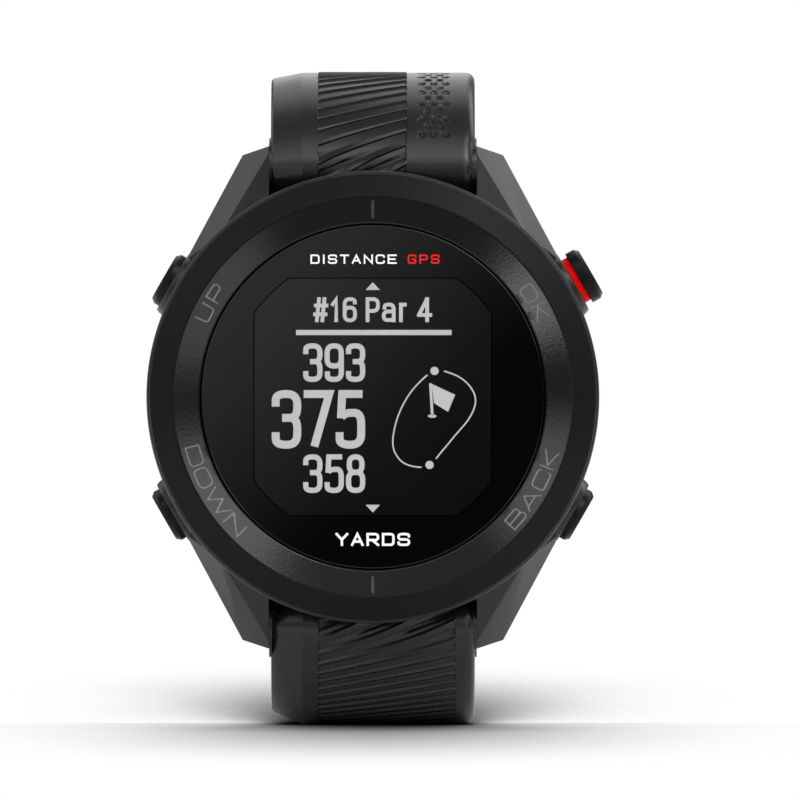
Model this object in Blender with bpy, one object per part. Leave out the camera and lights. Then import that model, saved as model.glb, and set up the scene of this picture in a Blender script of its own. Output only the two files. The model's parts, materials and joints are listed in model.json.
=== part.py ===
"""Golf GPS watch: a round polymer case with four side buttons and a two-piece silicone strap.

Everything is modelled in the dial frame, face up: +X towards 3 o'clock, +Y towards 12 o'clock
and +Z out of the glass, with the origin at the centre of the case back. The empty
"standing_pose" then tips the dial frame upright, so that in the world the face looks along -Y,
12 o'clock is +Z and the case back looks along +Y. Sizes are in metres.
"""

import math

import bmesh
import bpy
from mathutils import Matrix, Vector

MM = 0.001
TAU = 2 * math.pi

# Driving sizes
CASE_RADIUS = 21.85 * MM
CASE_HEIGHT = 11.5 * MM
STRAP_GAP = 20.2 * MM  # between the lugs' inner faces
CAVITY_RADIUS = 16.9 * MM
LENS_RADIUS = 16.63 * MM
BUTTON_ANGLES = {"ok": 30, "up": 150, "down": 210, "back": 330}  # degrees from 3 o'clock
CASE_SEGMENTS = 40
BUTTON_SEGMENTS = 12

# Heights above the case back, in the order of the stack
COVER_TOP = 1.3 * MM
GASKET_LEDGE = 1.75 * MM
BUTTON_HEIGHT = 4.3 * MM
BOARD_BACK = 4.8 * MM
BOARD_FRONT = 5.6 * MM
FRAME_BACK = 6.8 * MM
FRAME_FRONT = 8.0 * MM
FLANGE_BACK = 8.1 * MM
FLANGE_FRONT = 9.1 * MM
LENS_BACK = 9.55 * MM
LENS_FRONT = 10.85 * MM
TOUCH = 0.05 * MM  # gap left where two pieces meet

# Bezel
BEZEL_RADIUS = 21.56 * MM
BEZEL_RIDGE_RADIUS = 19.33 * MM
BEZEL_HOLE_RADIUS = LENS_RADIUS + 0.12 * MM

# Case back
COVER_RADIUS = 17.55 * MM
RECESS_RADIUS = 17.75 * MM
SCREW_CIRCLE = 15.3 * MM
SCREW_ANGLES = (45, 135, 225, 315)
SCREW_HEAD_RADIUS = 1.2 * MM
SCREW_SHAFT_RADIUS = 0.6 * MM
SCREW_LENGTH = 3.2 * MM
BOSS_RADIUS = 1.5 * MM
PORT_CENTRE = Vector((0, -11.0 * MM))
PORT_DEPTH = 0.5 * MM
CONTACT_PITCH = 2.0 * MM

# Display
WINDOW_SIDE = 22.8 * MM
WINDOW_CORNER_RADIUS = 13.95 * MM  # circle that trims the square's corners
PANEL_MARGIN = 0.5 * MM

# Buttons, along their own axes from the watch's centre
HEAD_RADIUS = 2.7 * MM
HEAD_FACE = 23.3 * MM
HEAD_THICKNESS = 1.2 * MM
OK_HEAD_FACE = 23.9 * MM
OK_HEAD_THICKNESS = 0.95 * MM
OK_COLLAR_RADIUS = 2.35 * MM
COLLAR_FACE = 22.35 * MM
COLLAR_RADIUS = 3.25 * MM
COLLAR_RECESS = 21.4 * MM
STEM_RADIUS = 1.0 * MM
STEM_END = 16.2 * MM
BORE_RADIUS = 1.1 * MM
SEAL_AT = 19.5 * MM
CLIP_AT = 16.6 * MM
SWITCH_FRONT = 15.4 * MM
PLUNGER_RADIUS = 0.4 * MM

# Strap: the root turns on a bar between the lugs, and the outer face leaves it as a tangent
BAR_Y = 22.0 * MM
BAR_HEIGHT = 3.6 * MM
ROOT_RADIUS = 3.1 * MM
ROOT_LEAN = math.radians(25)
ROOT_HALF_WIDTH = 9.8 * MM
STRAP_HALF_WIDTH = 9.87 * MM
ROOT_THICKNESS = 3.2 * MM
STRAP_THICKNESS = 2.4 * MM
FACET_WIDTH = 3.0 * MM  # the outer face falls away along its 9 o'clock edge
FACET_DROP = 1.0 * MM
SHOULDER_BEND = 14.4 * MM
UPPER_FLAT = 8.0 * MM
UPPER_BEND = 27.0 * MM
UPPER_END = 8.0 * MM
FOOT_LENGTH = 22.0 * MM
TAIL_BEND = 75.0 * MM
TAIL_LENGTH = 80.0 * MM
SLOT_COUNT = 14
SLOT_PITCH = 6.2 * MM
SLOT_START = 14.8 * MM
SLOT_WIDTH = 6.4 * MM
SLOT_HEIGHT = 2.0 * MM

# Quick-release bars and buckle
BAR_RADIUS = 0.75 * MM
PIN_RADIUS = 0.4 * MM
LUG_HOLE_RADIUS = 0.5 * MM
LUG_HOLE_DEPTH = 1.2 * MM
BAR_HALF_LENGTH = 9.35 * MM
BUCKLE_HALF_WIDTH = 12.0 * MM
BUCKLE_INSIDE = 10.3 * MM
BUCKLE_REACH = 9.6 * MM
CROSSBAR_DEPTH = 1.8 * MM
BUCKLE_BOSS_RADIUS = 1.7 * MM
TONGUE_WIDTH = 5.6 * MM
TONGUE_NOTCH = 3.1 * MM

# Keepers
KEEPER_LENGTH = 5.5 * MM
KEEPER_WALL = 1.2 * MM
KEEPER_ROOM = 2.9 * MM  # above the strap, for the tail
FIXED_KEEPER_FROM_BAR = 6.0 * MM
FREE_KEEPER_ANGLE = math.radians(60)  # round the strap's bend, from 12 o'clock


# ---------------------------------------------------------------- tools

def clear_scene():
    for obj in list(bpy.data.objects):
        bpy.data.objects.remove(obj, do_unlink=True)


def material(name, colour, roughness, metallic=0.0):
    made = bpy.data.materials.get(name)
    if made is None:
        made = bpy.data.materials.new(name)
        made.use_nodes = True
        shader = made.node_tree.nodes["Principled BSDF"]
        shader.inputs["Base Color"].default_value = (*colour, 1.0)
        shader.inputs["Roughness"].default_value = roughness
        shader.inputs["Metallic"].default_value = metallic
    return made


def place(name, mesh, finish=None, at=(0, 0, 0), turn=None):
    """An object in the dial frame. turn is a rotation matrix."""
    obj = bpy.data.objects.new(name, mesh)
    bpy.context.scene.collection.objects.link(obj)
    obj.parent = bpy.data.objects["standing_pose"]
    obj.location = at
    if turn is not None:
        obj.rotation_euler = turn.to_euler()
    if finish is not None:
        mesh.materials.append(finish)
    mesh.shade_smooth()
    mesh.set_sharp_from_angle(angle=math.radians(35))
    return obj


def helper(name, mesh, at=(0, 0, 0), turn=None):
    """A cutter or an operand, left out of the build."""
    obj = place(name, mesh, None, at, turn)
    obj.hide_render = True
    obj.display_type = "WIRE"
    return obj


def combine(obj, operation, other):
    modifier = obj.modifiers.new(other.name, "BOOLEAN")
    modifier.operation = operation
    modifier.object = other


def finished(bm, name="shape"):
    bmesh.ops.recalc_face_normals(bm, faces=bm.faces)
    mesh = bpy.data.meshes.new(name)
    bm.to_mesh(mesh)
    bm.free()
    return mesh


def joined(meshes):
    """One mesh that holds several separate shapes."""
    bm = bmesh.new()
    for mesh in meshes:
        bm.from_mesh(mesh)
    return finished(bm)


def moved(mesh, matrix):
    mesh.transform(matrix)
    return mesh


def lathe(profile, segments):
    """Turns (radius, height) points about Z. A profile that misses the axis is closed into a ring."""
    bm = bmesh.new()
    verts = [bm.verts.new((radius, 0, height)) for radius, height in profile]
    pairs = list(zip(verts, verts[1:]))
    if all(radius > 0 for radius, _ in profile):
        pairs.append((verts[-1], verts[0]))
    edges = [bm.edges.new(pair) for pair in pairs]
    bmesh.ops.spin(
        bm, geom=verts + edges, cent=(0, 0, 0), axis=(0, 0, 1), angle=TAU, steps=segments, use_merge=True
    )
    bmesh.ops.remove_doubles(bm, verts=bm.verts, dist=1e-7)
    return finished(bm)


def loft(rings, loop=False):
    """Skins rings of equally many points, capped at both ends, or closed on itself if loop is set."""
    bm = bmesh.new()
    rows = [[bm.verts.new(point) for point in ring] for ring in rings]
    pairs = list(zip(rows, rows[1:]))
    if loop:
        pairs.append((rows[-1], rows[0]))
    else:
        bm.faces.new(reversed(rows[0]))
        bm.faces.new(rows[-1])
    count = len(rows[0])
    for low, high in pairs:
        for i in range(count):
            j = (i + 1) % count
            bm.faces.new((low[i], low[j], high[j], high[i]))
    return finished(bm)


def hull(points):
    bm = bmesh.new()
    for point in points:
        bm.verts.new(point)
    found = bmesh.ops.convex_hull(bm, input=bm.verts)
    bmesh.ops.delete(bm, geom=found["geom_interior"], context="VERTS")
    return finished(bm)


def rounded(width, height, radius, steps=4):
    """Corner points of a rounded rectangle about the origin, anticlockwise."""
    points = []
    for quarter, (sx, sy) in enumerate(((1, 1), (-1, 1), (-1, -1), (1, -1))):
        for step in range(steps + 1):
            angle = math.pi / 2 * (quarter + step / steps)
            points.append(
                (
                    sx * (width / 2 - radius) + radius * math.cos(angle),
                    sy * (height / 2 - radius) + radius * math.sin(angle),
                )
            )
    return points


def slab(outline, bottom, top, centre=(0, 0)):
    """A flat outline given thickness along Z."""
    return loft([[(centre[0] + x, centre[1] + y, z) for x, y in outline] for z in (bottom, top)])


def ribbon(route, width, thickness):
    """A thin strip across X that follows a route of (y, z) points in millimetres."""
    points = [Vector((0, y * MM, z * MM)) for y, z in route]
    rings = []
    for i, point in enumerate(points):
        along = (points[min(i + 1, len(points) - 1)] - points[max(i - 1, 0)]).normalized()
        lift = Vector((1, 0, 0)).cross(along) * thickness / 2
        side = Vector((width / 2, 0, 0))
        rings.append([point - side - lift, point + side - lift, point + side + lift, point - side + lift])
    return loft(rings)


def rod(radius, start, end, segments=16):
    """A cylinder between two heights on Z."""
    return lathe([(0, start), (radius, start), (radius, end), (0, end)], segments)


def along_x(mesh):
    """Lays a shape that stands along Z down along X."""
    return moved(mesh, Matrix.Rotation(math.pi / 2, 4, "Y"))


def around(angle, radius=0.0, height=0.0):
    """A point on a circle about the dial's axis, angle in degrees from 3 o'clock."""
    angle = math.radians(angle)
    return Vector((radius * math.cos(angle), radius * math.sin(angle), height))


def outward(angle):
    """Turns local +Z to point out of the case at that angle, and local +X to the case back."""
    return Matrix.Rotation(math.radians(angle), 4, "Z") @ Matrix.Rotation(math.pi / 2, 4, "Y")


def window_outline(margin=0.0):
    """A square whose corners are trimmed by a circle: the display's outline."""
    half = WINDOW_SIDE / 2 + margin
    radius = WINDOW_CORNER_RADIUS + margin
    start = math.acos(half / radius)
    sweep = math.pi / 2 - 2 * start
    steps = 5
    points = []
    for quarter in range(4):
        for step in range(steps + 1):
            angle = quarter * math.pi / 2 + start + sweep * step / steps
            points.append((radius * math.cos(angle), radius * math.sin(angle)))
    return points


# ---------------------------------------------------------------- finishes

def finishes():
    return {
        "case": material("case_polymer", (0.045, 0.046, 0.048), 0.45),
        "bezel": material("bezel_polymer", (0.028, 0.029, 0.031), 0.5),
        "lens": material("lens_glass", (0.01, 0.01, 0.011), 0.06),
        "silicone": material("strap_silicone", (0.04, 0.041, 0.043), 0.6),
        "button": material("button_metal", (0.03, 0.03, 0.032), 0.35, 0.6),
        "red": material("accent_red", (0.75, 0.02, 0.01), 0.35),
        "seal": material("seal_rubber", (0.02, 0.02, 0.02), 0.7),
        "buckle": material("buckle_steel", (0.06, 0.06, 0.065), 0.35, 0.9),
        "steel": material("steel", (0.6, 0.6, 0.62), 0.3, 1.0),
        "gold": material("contact_gold", (0.9, 0.66, 0.25), 0.25, 1.0),
        "board": material("board_laminate", (0.02, 0.12, 0.06), 0.4),
        "shield": material("shield_tin", (0.7, 0.7, 0.72), 0.35, 1.0),
        "ceramic": material("antenna_ceramic", (0.75, 0.7, 0.6), 0.5),
        "battery": material("battery_wrap", (0.25, 0.27, 0.3), 0.4),
        "flex": material("flex_film", (0.5, 0.25, 0.05), 0.4),
        "display": material("display_glass", (0.03, 0.035, 0.03), 0.15),
        "diffuser": material("diffuser", (0.8, 0.8, 0.78), 0.3),
        "frame": material("inner_polymer", (0.08, 0.08, 0.085), 0.55),
        "cover": material("cover_polymer", (0.04, 0.04, 0.042), 0.5),
    }


# ---------------------------------------------------------------- case

def lug_shape(side, end):
    """One lug as a faceted wedge. side is +1 at 3 o'clock, end is +1 at 12 o'clock."""
    inner = STRAP_GAP / 2 - 0.5 * MM  # the strap gap is cut back to size afterwards
    corners = (
        (inner, 24.45, 4.6),
        (inner, 19.0, 8.4),
        (14.6, 15.9, 8.4),
        (17.6, 13.9, 5.5),
        (12.6, 23.45, 2.4),
        (inner, 24.2, 1.6),
        (12.4, 23.2, 1.3),
        (17.0, 13.6, 1.9),
        (inner, 14.4, 8.4),
        (inner, 14.4, 1.9),
        (14.6, 12.5, 8.4),
    )
    return hull(
        [(side * (x if x == inner else x * MM), end * y * MM, z * MM) for x, y, z in corners]
    )


def collar_shape():
    """The raised boss round one button, along +Z from the watch's centre."""
    return lathe(
        [
            (0, 18.2 * MM),
            (3.5 * MM, 18.2 * MM),
            (3.5 * MM, 20.9 * MM),
            (COLLAR_RADIUS, 22.0 * MM),
            (COLLAR_RADIUS - 0.15 * MM, COLLAR_FACE),
            (0, COLLAR_FACE),
        ],
        20,
    )


def screw_boss_shape():
    """A screw's column, joined to the cavity's wall on its +X side."""
    reach = CAVITY_RADIUS - SCREW_CIRCLE + 0.6 * MM
    outline = [(BOSS_RADIUS * math.cos(a), BOSS_RADIUS * math.sin(a)) for a in arc_angles(90, 270, 6)]
    outline += [(reach, -BOSS_RADIUS), (reach, BOSS_RADIUS)]
    return slab(outline, GASKET_LEDGE + TOUCH, 4.5 * MM)


def arc_angles(start, end, steps):
    return [math.radians(start + (end - start) * i / steps) for i in range(steps + 1)]


def on_circle(shape, angles, radius):
    """Copies of a shape set round the dial's axis, each turned to face out."""
    copies = []
    for angle in angles:
        turn = Matrix.Rotation(math.radians(angle), 4, "Z")
        copies.append(moved(shape.copy(), Matrix.Translation(around(angle, radius)) @ turn))
    return joined(copies)


def on_button_axes(shape):
    """Copies of a shape that stands along +Z, one along each button's axis."""
    lift = Matrix.Translation((0, 0, BUTTON_HEIGHT))
    return joined([moved(shape.copy(), lift @ outward(a)) for a in BUTTON_ANGLES.values()])


def build_mid_case(look):
    profile = (
        (RECESS_RADIUS, 0.45 * MM),
        (18.4 * MM, 0.45 * MM),
        (19.9 * MM, 1.6 * MM),
        (21.0 * MM, 3.6 * MM),
        (21.6 * MM, 6.2 * MM),
        (CASE_RADIUS, 8.2 * MM),
        (CASE_RADIUS, 9.0 * MM),
        (CASE_RADIUS - 0.1 * MM, FLANGE_FRONT),
        (14.65 * MM, FLANGE_FRONT),
        (14.65 * MM, FLANGE_BACK),
        (CAVITY_RADIUS, FLANGE_BACK),
        (CAVITY_RADIUS, GASKET_LEDGE),
        (RECESS_RADIUS, GASKET_LEDGE),
    )
    case = place("mid_case", lathe(profile, CASE_SEGMENTS), look["case"])
    lugs = joined([lug_shape(side, end) for side in (1, -1) for end in (1, -1)])
    combine(case, "UNION", helper("lug_wedges", lugs))
    combine(case, "UNION", helper("button_collars", on_button_axes(collar_shape())))
    combine(case, "UNION", helper("screw_bosses", on_circle(screw_boss_shape(), SCREW_ANGLES, SCREW_CIRCLE)))

    gap = rounded(STRAP_GAP, 10 * MM, 0.3 * MM, 2)
    gaps = [slab(gap, -1 * MM, 8.2 * MM, (0, end * 23.45 * MM)) for end in (1, -1)]
    combine(case, "DIFFERENCE", helper("strap_gaps", joined(gaps)))

    hole_reach = STRAP_GAP / 2 + LUG_HOLE_DEPTH
    bar_holes = []
    for end in (1, -1):
        hole = along_x(rod(LUG_HOLE_RADIUS, -hole_reach, hole_reach))
        bar_holes.append(moved(hole, Matrix.Translation((0, end * BAR_Y, BAR_HEIGHT))))
    combine(case, "DIFFERENCE", helper("bar_holes", joined(bar_holes)))

    bore = lathe(
        [
            (0, CAVITY_RADIUS - 1 * MM),
            (BORE_RADIUS, CAVITY_RADIUS - 1 * MM),
            (BORE_RADIUS, COLLAR_RECESS),
            (HEAD_RADIUS + 0.15 * MM, COLLAR_RECESS),
            (HEAD_RADIUS + 0.15 * MM, COLLAR_FACE + 1 * MM),
            (0, COLLAR_FACE + 1 * MM),
        ],
        BUTTON_SEGMENTS,
    )
    combine(case, "DIFFERENCE", helper("button_bores", on_button_axes(bore)))
    tapping = rod(SCREW_SHAFT_RADIUS + 0.1 * MM, 1 * MM, 4.2 * MM, 10)
    combine(case, "DIFFERENCE", helper("screw_tappings", on_circle(tapping, SCREW_ANGLES, SCREW_CIRCLE)))


def build_bezel(look):
    profile = (
        (BEZEL_HOLE_RADIUS, FLANGE_FRONT + TOUCH),
        (21.4 * MM, FLANGE_FRONT + TOUCH),
        (BEZEL_RADIUS, 9.35 * MM),
        (BEZEL_RADIUS, 9.9 * MM),
        (21.3 * MM, 10.25 * MM),
        (BEZEL_RIDGE_RADIUS + 0.1 * MM, CASE_HEIGHT),
        (BEZEL_RIDGE_RADIUS - 0.1 * MM, CASE_HEIGHT),
        (BEZEL_HOLE_RADIUS + 0.1 * MM, 11.05 * MM),
        (BEZEL_HOLE_RADIUS, 10.95 * MM),
    )
    place("bezel", lathe(profile, CASE_SEGMENTS), look["bezel"])


def build_lens(look):
    chamfer = 0.2 * MM
    profile = (
        (0, LENS_BACK),
        (LENS_RADIUS, LENS_BACK),
        (LENS_RADIUS, LENS_FRONT - chamfer),
        (LENS_RADIUS - chamfer, LENS_FRONT),
        (0, LENS_FRONT),
    )
    place("lens", lathe(profile, CASE_SEGMENTS), look["lens"])
    seal = (
        (14.8 * MM, FLANGE_FRONT + TOUCH),
        (16.5 * MM, FLANGE_FRONT + TOUCH),
        (16.5 * MM, LENS_BACK - TOUCH),
        (14.8 * MM, LENS_BACK - TOUCH),
    )
    place("lens_seal", lathe(seal, 32), look["seal"])


def build_display(look):
    panel_front = FLANGE_FRONT
    panel_back = 7.9 * MM
    light_back = 7.3 * MM
    pocket_floor = 7.2 * MM
    place("display_panel", slab(window_outline(PANEL_MARGIN), panel_back, panel_front), look["display"])
    guide = slab(window_outline(PANEL_MARGIN), light_back, panel_back - 0.1 * MM)
    place("backlight_guide", guide, look["diffuser"])

    disc = lathe([(0, FRAME_BACK), (16.6 * MM, FRAME_BACK), (16.6 * MM, FRAME_FRONT), (0, FRAME_FRONT)], 36)
    frame = place("display_frame", disc, look["frame"])
    pocket = slab(window_outline(PANEL_MARGIN + 0.1 * MM), pocket_floor, FRAME_FRONT + 1 * MM)
    combine(frame, "DIFFERENCE", helper("panel_pocket", pocket))
    flex_slot = rounded(9 * MM, 1.9 * MM, 0.2 * MM)
    slot = slab(flex_slot, FRAME_BACK - 1 * MM, FRAME_FRONT + 1 * MM, (0, -12.6 * MM))
    combine(frame, "DIFFERENCE", helper("flex_slot", slot))

    # The flex leaves the panel's foot, drops through the slot and folds under to the board.
    route = (
        (-12.1, 7.78), (-12.7, 7.7), (-13.05, 7.3), (-13.05, 6.4), (-12.7, 5.95), (-12.0, 5.8), (-10.6, 5.8)
    )
    place("display_flex", ribbon(route, 8 * MM, 0.12 * MM), look["flex"])


def build_electronics(look):
    board_outline = [(15.4 * MM * math.cos(a), 15.4 * MM * math.sin(a)) for a in arc_angles(0, 350, 35)]
    place("main_board", slab(board_outline, BOARD_BACK, BOARD_FRONT), look["board"])
    shield = slab(rounded(13 * MM, 11 * MM, 0.8 * MM, 2), BOARD_FRONT + TOUCH, 6.6 * MM, (0, -1 * MM))
    place("processor_shield", shield, look["shield"])
    antenna = slab(rounded(10 * MM, 4 * MM, 0.4 * MM, 2), BOARD_FRONT + TOUCH, 6.6 * MM, (0, 10.5 * MM))
    place("gps_antenna", antenna, look["ceramic"])
    cell = slab(rounded(17.6 * MM, 19.4 * MM, 1.2 * MM), 1.9 * MM, 4.5 * MM, (0, 2.6 * MM))
    place("battery", cell, look["battery"])
    route = ((-7.2, 3.0), (-7.8, 3.1), (-8.2, 3.8), (-8.7, 4.5), (-9.8, 4.65))
    place("battery_lead", ribbon(route, 3 * MM, 0.15 * MM), look["flex"], (-4 * MM, 0, 0))


def build_case_back(look):
    disc = lathe(
        [(0, 0), (16.6 * MM, 0), (COVER_RADIUS, 0.55 * MM), (COVER_RADIUS, COVER_TOP), (0, COVER_TOP)],
        CASE_SEGMENTS,
    )
    cover = place("back_cover", disc, look["cover"])
    pads = on_circle(rod(BOSS_RADIUS, COVER_TOP - 0.3 * MM, GASKET_LEDGE, 12), SCREW_ANGLES, SCREW_CIRCLE)
    combine(cover, "UNION", helper("screw_pads", pads))
    seat = 0.85 * MM
    screw_hole = lathe(
        [
            (0, -1 * MM),
            (SCREW_HEAD_RADIUS + 0.15 * MM, -1 * MM),
            (SCREW_HEAD_RADIUS + 0.15 * MM, seat),
            (SCREW_SHAFT_RADIUS + 0.12 * MM, seat),
            (SCREW_SHAFT_RADIUS + 0.12 * MM, 3 * MM),
            (0, 3 * MM),
        ],
        12,
    )
    combine(cover, "DIFFERENCE", helper("screw_holes", on_circle(screw_hole, SCREW_ANGLES, SCREW_CIRCLE)))
    socket = loft(
        [
            [(PORT_CENTRE.x + x, PORT_CENTRE.y + y, z) for x, y in rounded(width, height, 0.5 * MM)]
            for width, height, z in (
                (12 * MM, 6.4 * MM, -1 * MM),
                (12 * MM, 6.4 * MM, PORT_DEPTH),
                (9.2 * MM, 4.6 * MM, PORT_DEPTH),
                (9.2 * MM, 4.6 * MM, 3 * MM),
            )
        ]
    )
    combine(cover, "DIFFERENCE", helper("port_socket", socket))

    for number, angle in enumerate(SCREW_ANGLES, 1):
        build_back_screw(number, angle, seat, look)

    ring = (
        (16.98 * MM, COVER_TOP + TOUCH),
        (17.5 * MM, COVER_TOP + TOUCH),
        (17.5 * MM, GASKET_LEDGE - TOUCH),
        (16.98 * MM, GASKET_LEDGE - TOUCH),
    )
    place("back_gasket", lathe(ring, 36), look["seal"])
    build_contacts(look)


def build_back_screw(number, angle, seat, look):
    head = seat - TOUCH
    top = head - 0.7 * MM
    profile = (
        (0, top),
        (SCREW_HEAD_RADIUS - 0.15 * MM, top),
        (SCREW_HEAD_RADIUS, top + 0.15 * MM),
        (SCREW_HEAD_RADIUS, head),
        (SCREW_SHAFT_RADIUS, head),
        (SCREW_SHAFT_RADIUS, head + SCREW_LENGTH - 0.3 * MM),
        (SCREW_SHAFT_RADIUS - 0.2 * MM, head + SCREW_LENGTH),
        (0, head + SCREW_LENGTH),
    )
    centre = around(angle, SCREW_CIRCLE)
    screw = place(f"back_screw_{number}", lathe(profile, 12), look["steel"], centre)
    hexagon = rod(0.5 * MM, -1 * MM, top + 0.4 * MM, 6)
    combine(screw, "DIFFERENCE", helper(f"hex_socket_{number}", hexagon, centre))


def build_contacts(look):
    flange_back = 1.4 * MM
    rings = []
    for width, height, z in (
        (9.1 * MM, 4.5 * MM, PORT_DEPTH + 0.1 * MM),
        (9.1 * MM, 4.5 * MM, flange_back),
        (10.6 * MM, 6.0 * MM, flange_back),
        (10.6 * MM, 6.0 * MM, 2.0 * MM),
    ):
        outline = rounded(width, height, 0.45 * MM)
        rings.append([(PORT_CENTRE.x + x, PORT_CENTRE.y + y, z) for x, y in outline])
    block = place("contact_block", loft(rings), look["frame"])
    spots = [(i - 1.5) * CONTACT_PITCH for i in range(4)]
    hole = rod(0.5 * MM, -1 * MM, 3 * MM, 12)
    holes = [moved(hole.copy(), Matrix.Translation((x, PORT_CENTRE.y, 0))) for x in spots]
    combine(block, "DIFFERENCE", helper("contact_holes", joined(holes)))
    for number, x in enumerate(spots, 1):
        pin = rod(0.42 * MM, PORT_DEPTH + 0.2 * MM, 2.6 * MM, 12)
        place(f"charge_contact_{number}", pin, look["gold"], (x, PORT_CENTRE.y, 0))


# ---------------------------------------------------------------- buttons

def build_button(name, angle, look):
    """One push button with its seal, clip, switch and plunger, along its own axis."""
    turn = outward(angle)
    at = (0, 0, BUTTON_HEIGHT)
    is_ok = name == "ok"
    face = OK_HEAD_FACE if is_ok else HEAD_FACE
    under = face - (OK_HEAD_THICKNESS if is_ok else HEAD_THICKNESS)
    edge = 0.3 * MM
    groove = 0.7 * MM
    half_seal = 0.24 * MM
    half_clip = 0.15 * MM
    profile = (
        (0, STEM_END),
        (STEM_RADIUS, STEM_END),
        (STEM_RADIUS, CLIP_AT - half_clip),
        (groove, CLIP_AT - half_clip),
        (groove, CLIP_AT + half_clip),
        (STEM_RADIUS, CLIP_AT + half_clip),
        (STEM_RADIUS, SEAL_AT - half_seal),
        (groove, SEAL_AT - half_seal),
        (groove, SEAL_AT + half_seal),
        (STEM_RADIUS, SEAL_AT + half_seal),
        (STEM_RADIUS, under),
        (HEAD_RADIUS, under),
        (HEAD_RADIUS, face - edge),
        (HEAD_RADIUS - edge, face),
        (0, face),
    )
    place(f"{name}_button", lathe(profile, BUTTON_SEGMENTS), look["button"], at, turn)

    seal_radius = 0.17 * MM
    seal_centre = 0.9 * MM
    section = [
        (seal_centre + seal_radius * math.cos(a), SEAL_AT + seal_radius * math.sin(a))
        for a in arc_angles(0, 300, 5)
    ]
    place(f"{name}_button_seal", lathe(section, BUTTON_SEGMENTS), look["seal"], at, turn)

    inner, outer = 0.74 * MM, 1.45 * MM
    thickness = 0.1 * MM
    sweep = arc_angles(35, 325, 10)
    outline = [(outer * math.cos(a), outer * math.sin(a)) for a in sweep]
    outline += [(inner * math.cos(a), inner * math.sin(a)) for a in reversed(sweep)]
    clip = slab(outline, CLIP_AT - thickness, CLIP_AT + thickness)
    place(f"{name}_button_clip", clip, look["steel"], at, turn)

    body = slab(rounded(1.2 * MM, 3.0 * MM, 0.1 * MM, 1), 12.8 * MM, SWITCH_FRONT, (0.15 * MM, 0))
    switch = place(f"{name}_switch", body, look["frame"], at, turn)
    bore = rod(PLUNGER_RADIUS + 0.1 * MM, 13.8 * MM, SWITCH_FRONT + 1 * MM, 10)
    combine(switch, "DIFFERENCE", helper(f"{name}_switch_bore", bore, at, turn))
    plunger = rod(PLUNGER_RADIUS, 14.5 * MM, STEM_END - TOUCH, 10)
    place(f"{name}_switch_plunger", plunger, look["ceramic"], at, turn)

    if is_ok:
        ring = (
            (STEM_RADIUS + TOUCH, 22.05 * MM),
            (OK_COLLAR_RADIUS, 22.05 * MM),
            (OK_COLLAR_RADIUS, under - TOUCH),
            (STEM_RADIUS + TOUCH, under - TOUCH),
        )
        place("ok_accent_ring", lathe(ring, BUTTON_SEGMENTS), look["red"], at, turn)


# ---------------------------------------------------------------- strap

def strap_path(legs, step=3.2 * MM):
    """Stations along the outer face, as (arc length, y, z, lean), for the 12 o'clock half.

    Each leg is (length, bend radius), with radius 0 for a straight one. lean is the angle
    that the strap has turned from the dial's +Y towards the wrist.
    """
    lean = ROOT_LEAN
    y = BAR_Y + ROOT_RADIUS * math.sin(lean)
    z = BAR_HEIGHT + ROOT_RADIUS * math.cos(lean)
    travelled = 0.0
    stations = [(travelled, y, z, lean)]
    for length, radius in legs:
        count = max(2, round(length / step))
        piece = length / count
        for _ in range(count):
            turn = piece / radius if radius else 0.0
            chord = 2 * radius * math.sin(turn / 2) if radius else piece
            y += chord * math.cos(lean + turn / 2)
            z -= chord * math.sin(lean + turn / 2)
            lean += turn
            travelled += piece
            stations.append((travelled, y, z, lean))
    return stations


def upper_legs():
    shoulder = SHOULDER_BEND * (math.pi / 2 - ROOT_LEAN)
    bend = UPPER_BEND * math.pi / 2
    return [(shoulder, SHOULDER_BEND), (UPPER_FLAT, 0), (bend, UPPER_BEND), (UPPER_END, 0)]


def lower_legs():
    shoulder = SHOULDER_BEND * (math.pi / 2 - ROOT_LEAN)
    return [(shoulder, SHOULDER_BEND), (FOOT_LENGTH, 0), (TAIL_LENGTH, TAIL_BEND)]


def strap_section(travelled, length, tapered_tip):
    """The strap's cross-section at a station, as (x, depth below the outer face)."""
    ramp = min(1.0, travelled / (16 * MM))
    thick = ROOT_THICKNESS + (STRAP_THICKNESS - ROOT_THICKNESS) * ramp
    half = ROOT_HALF_WIDTH - 0.1 * MM if travelled < 2 * MM else STRAP_HALF_WIDTH
    to_tip = length - travelled
    tip = 8 * MM
    if tapered_tip and to_tip < tip:
        half *= math.sqrt(max(0.12, 1 - (1 - to_tip / tip) ** 2))
    edge = min(1.0, half / STRAP_HALF_WIDTH)
    facet = FACET_WIDTH * edge
    return [
        (-half, FACET_DROP),
        (facet - half, 0),
        (half - 0.6 * MM, 0),
        (half, 0.6 * MM),
        (half, thick - 0.5 * MM),
        (half - 0.5 * MM, thick),
        (0.5 * MM - half, thick),
        (-half, thick - 0.5 * MM),
    ]


def strap_band(stations, end, tapered_tip):
    """The strap as a skin over its cross-sections. end is +1 at 12 o'clock, -1 at 6 o'clock."""
    length = stations[-1][0]
    back_off, sink = 0.8 * MM, 0.25 * MM
    rings = []
    first = (stations[0][0], *point_on(stations[0], -back_off, sink), stations[0][3])
    for travelled, y, z, lean in [first, *stations[1:]]:
        ring = []
        for x, depth in strap_section(travelled, length, tapered_tip):
            ring.append((x, end * (y - depth * math.sin(lean)), z - depth * math.cos(lean)))
        rings.append(ring)
    return loft(rings)


def point_on(station, ahead, depth):
    """(y, z) that far ahead along the strap and that deep below its outer face."""
    _, y, z, lean = station
    return (
        y + ahead * math.cos(lean) - depth * math.sin(lean),
        z - ahead * math.sin(lean) - depth * math.cos(lean),
    )


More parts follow.
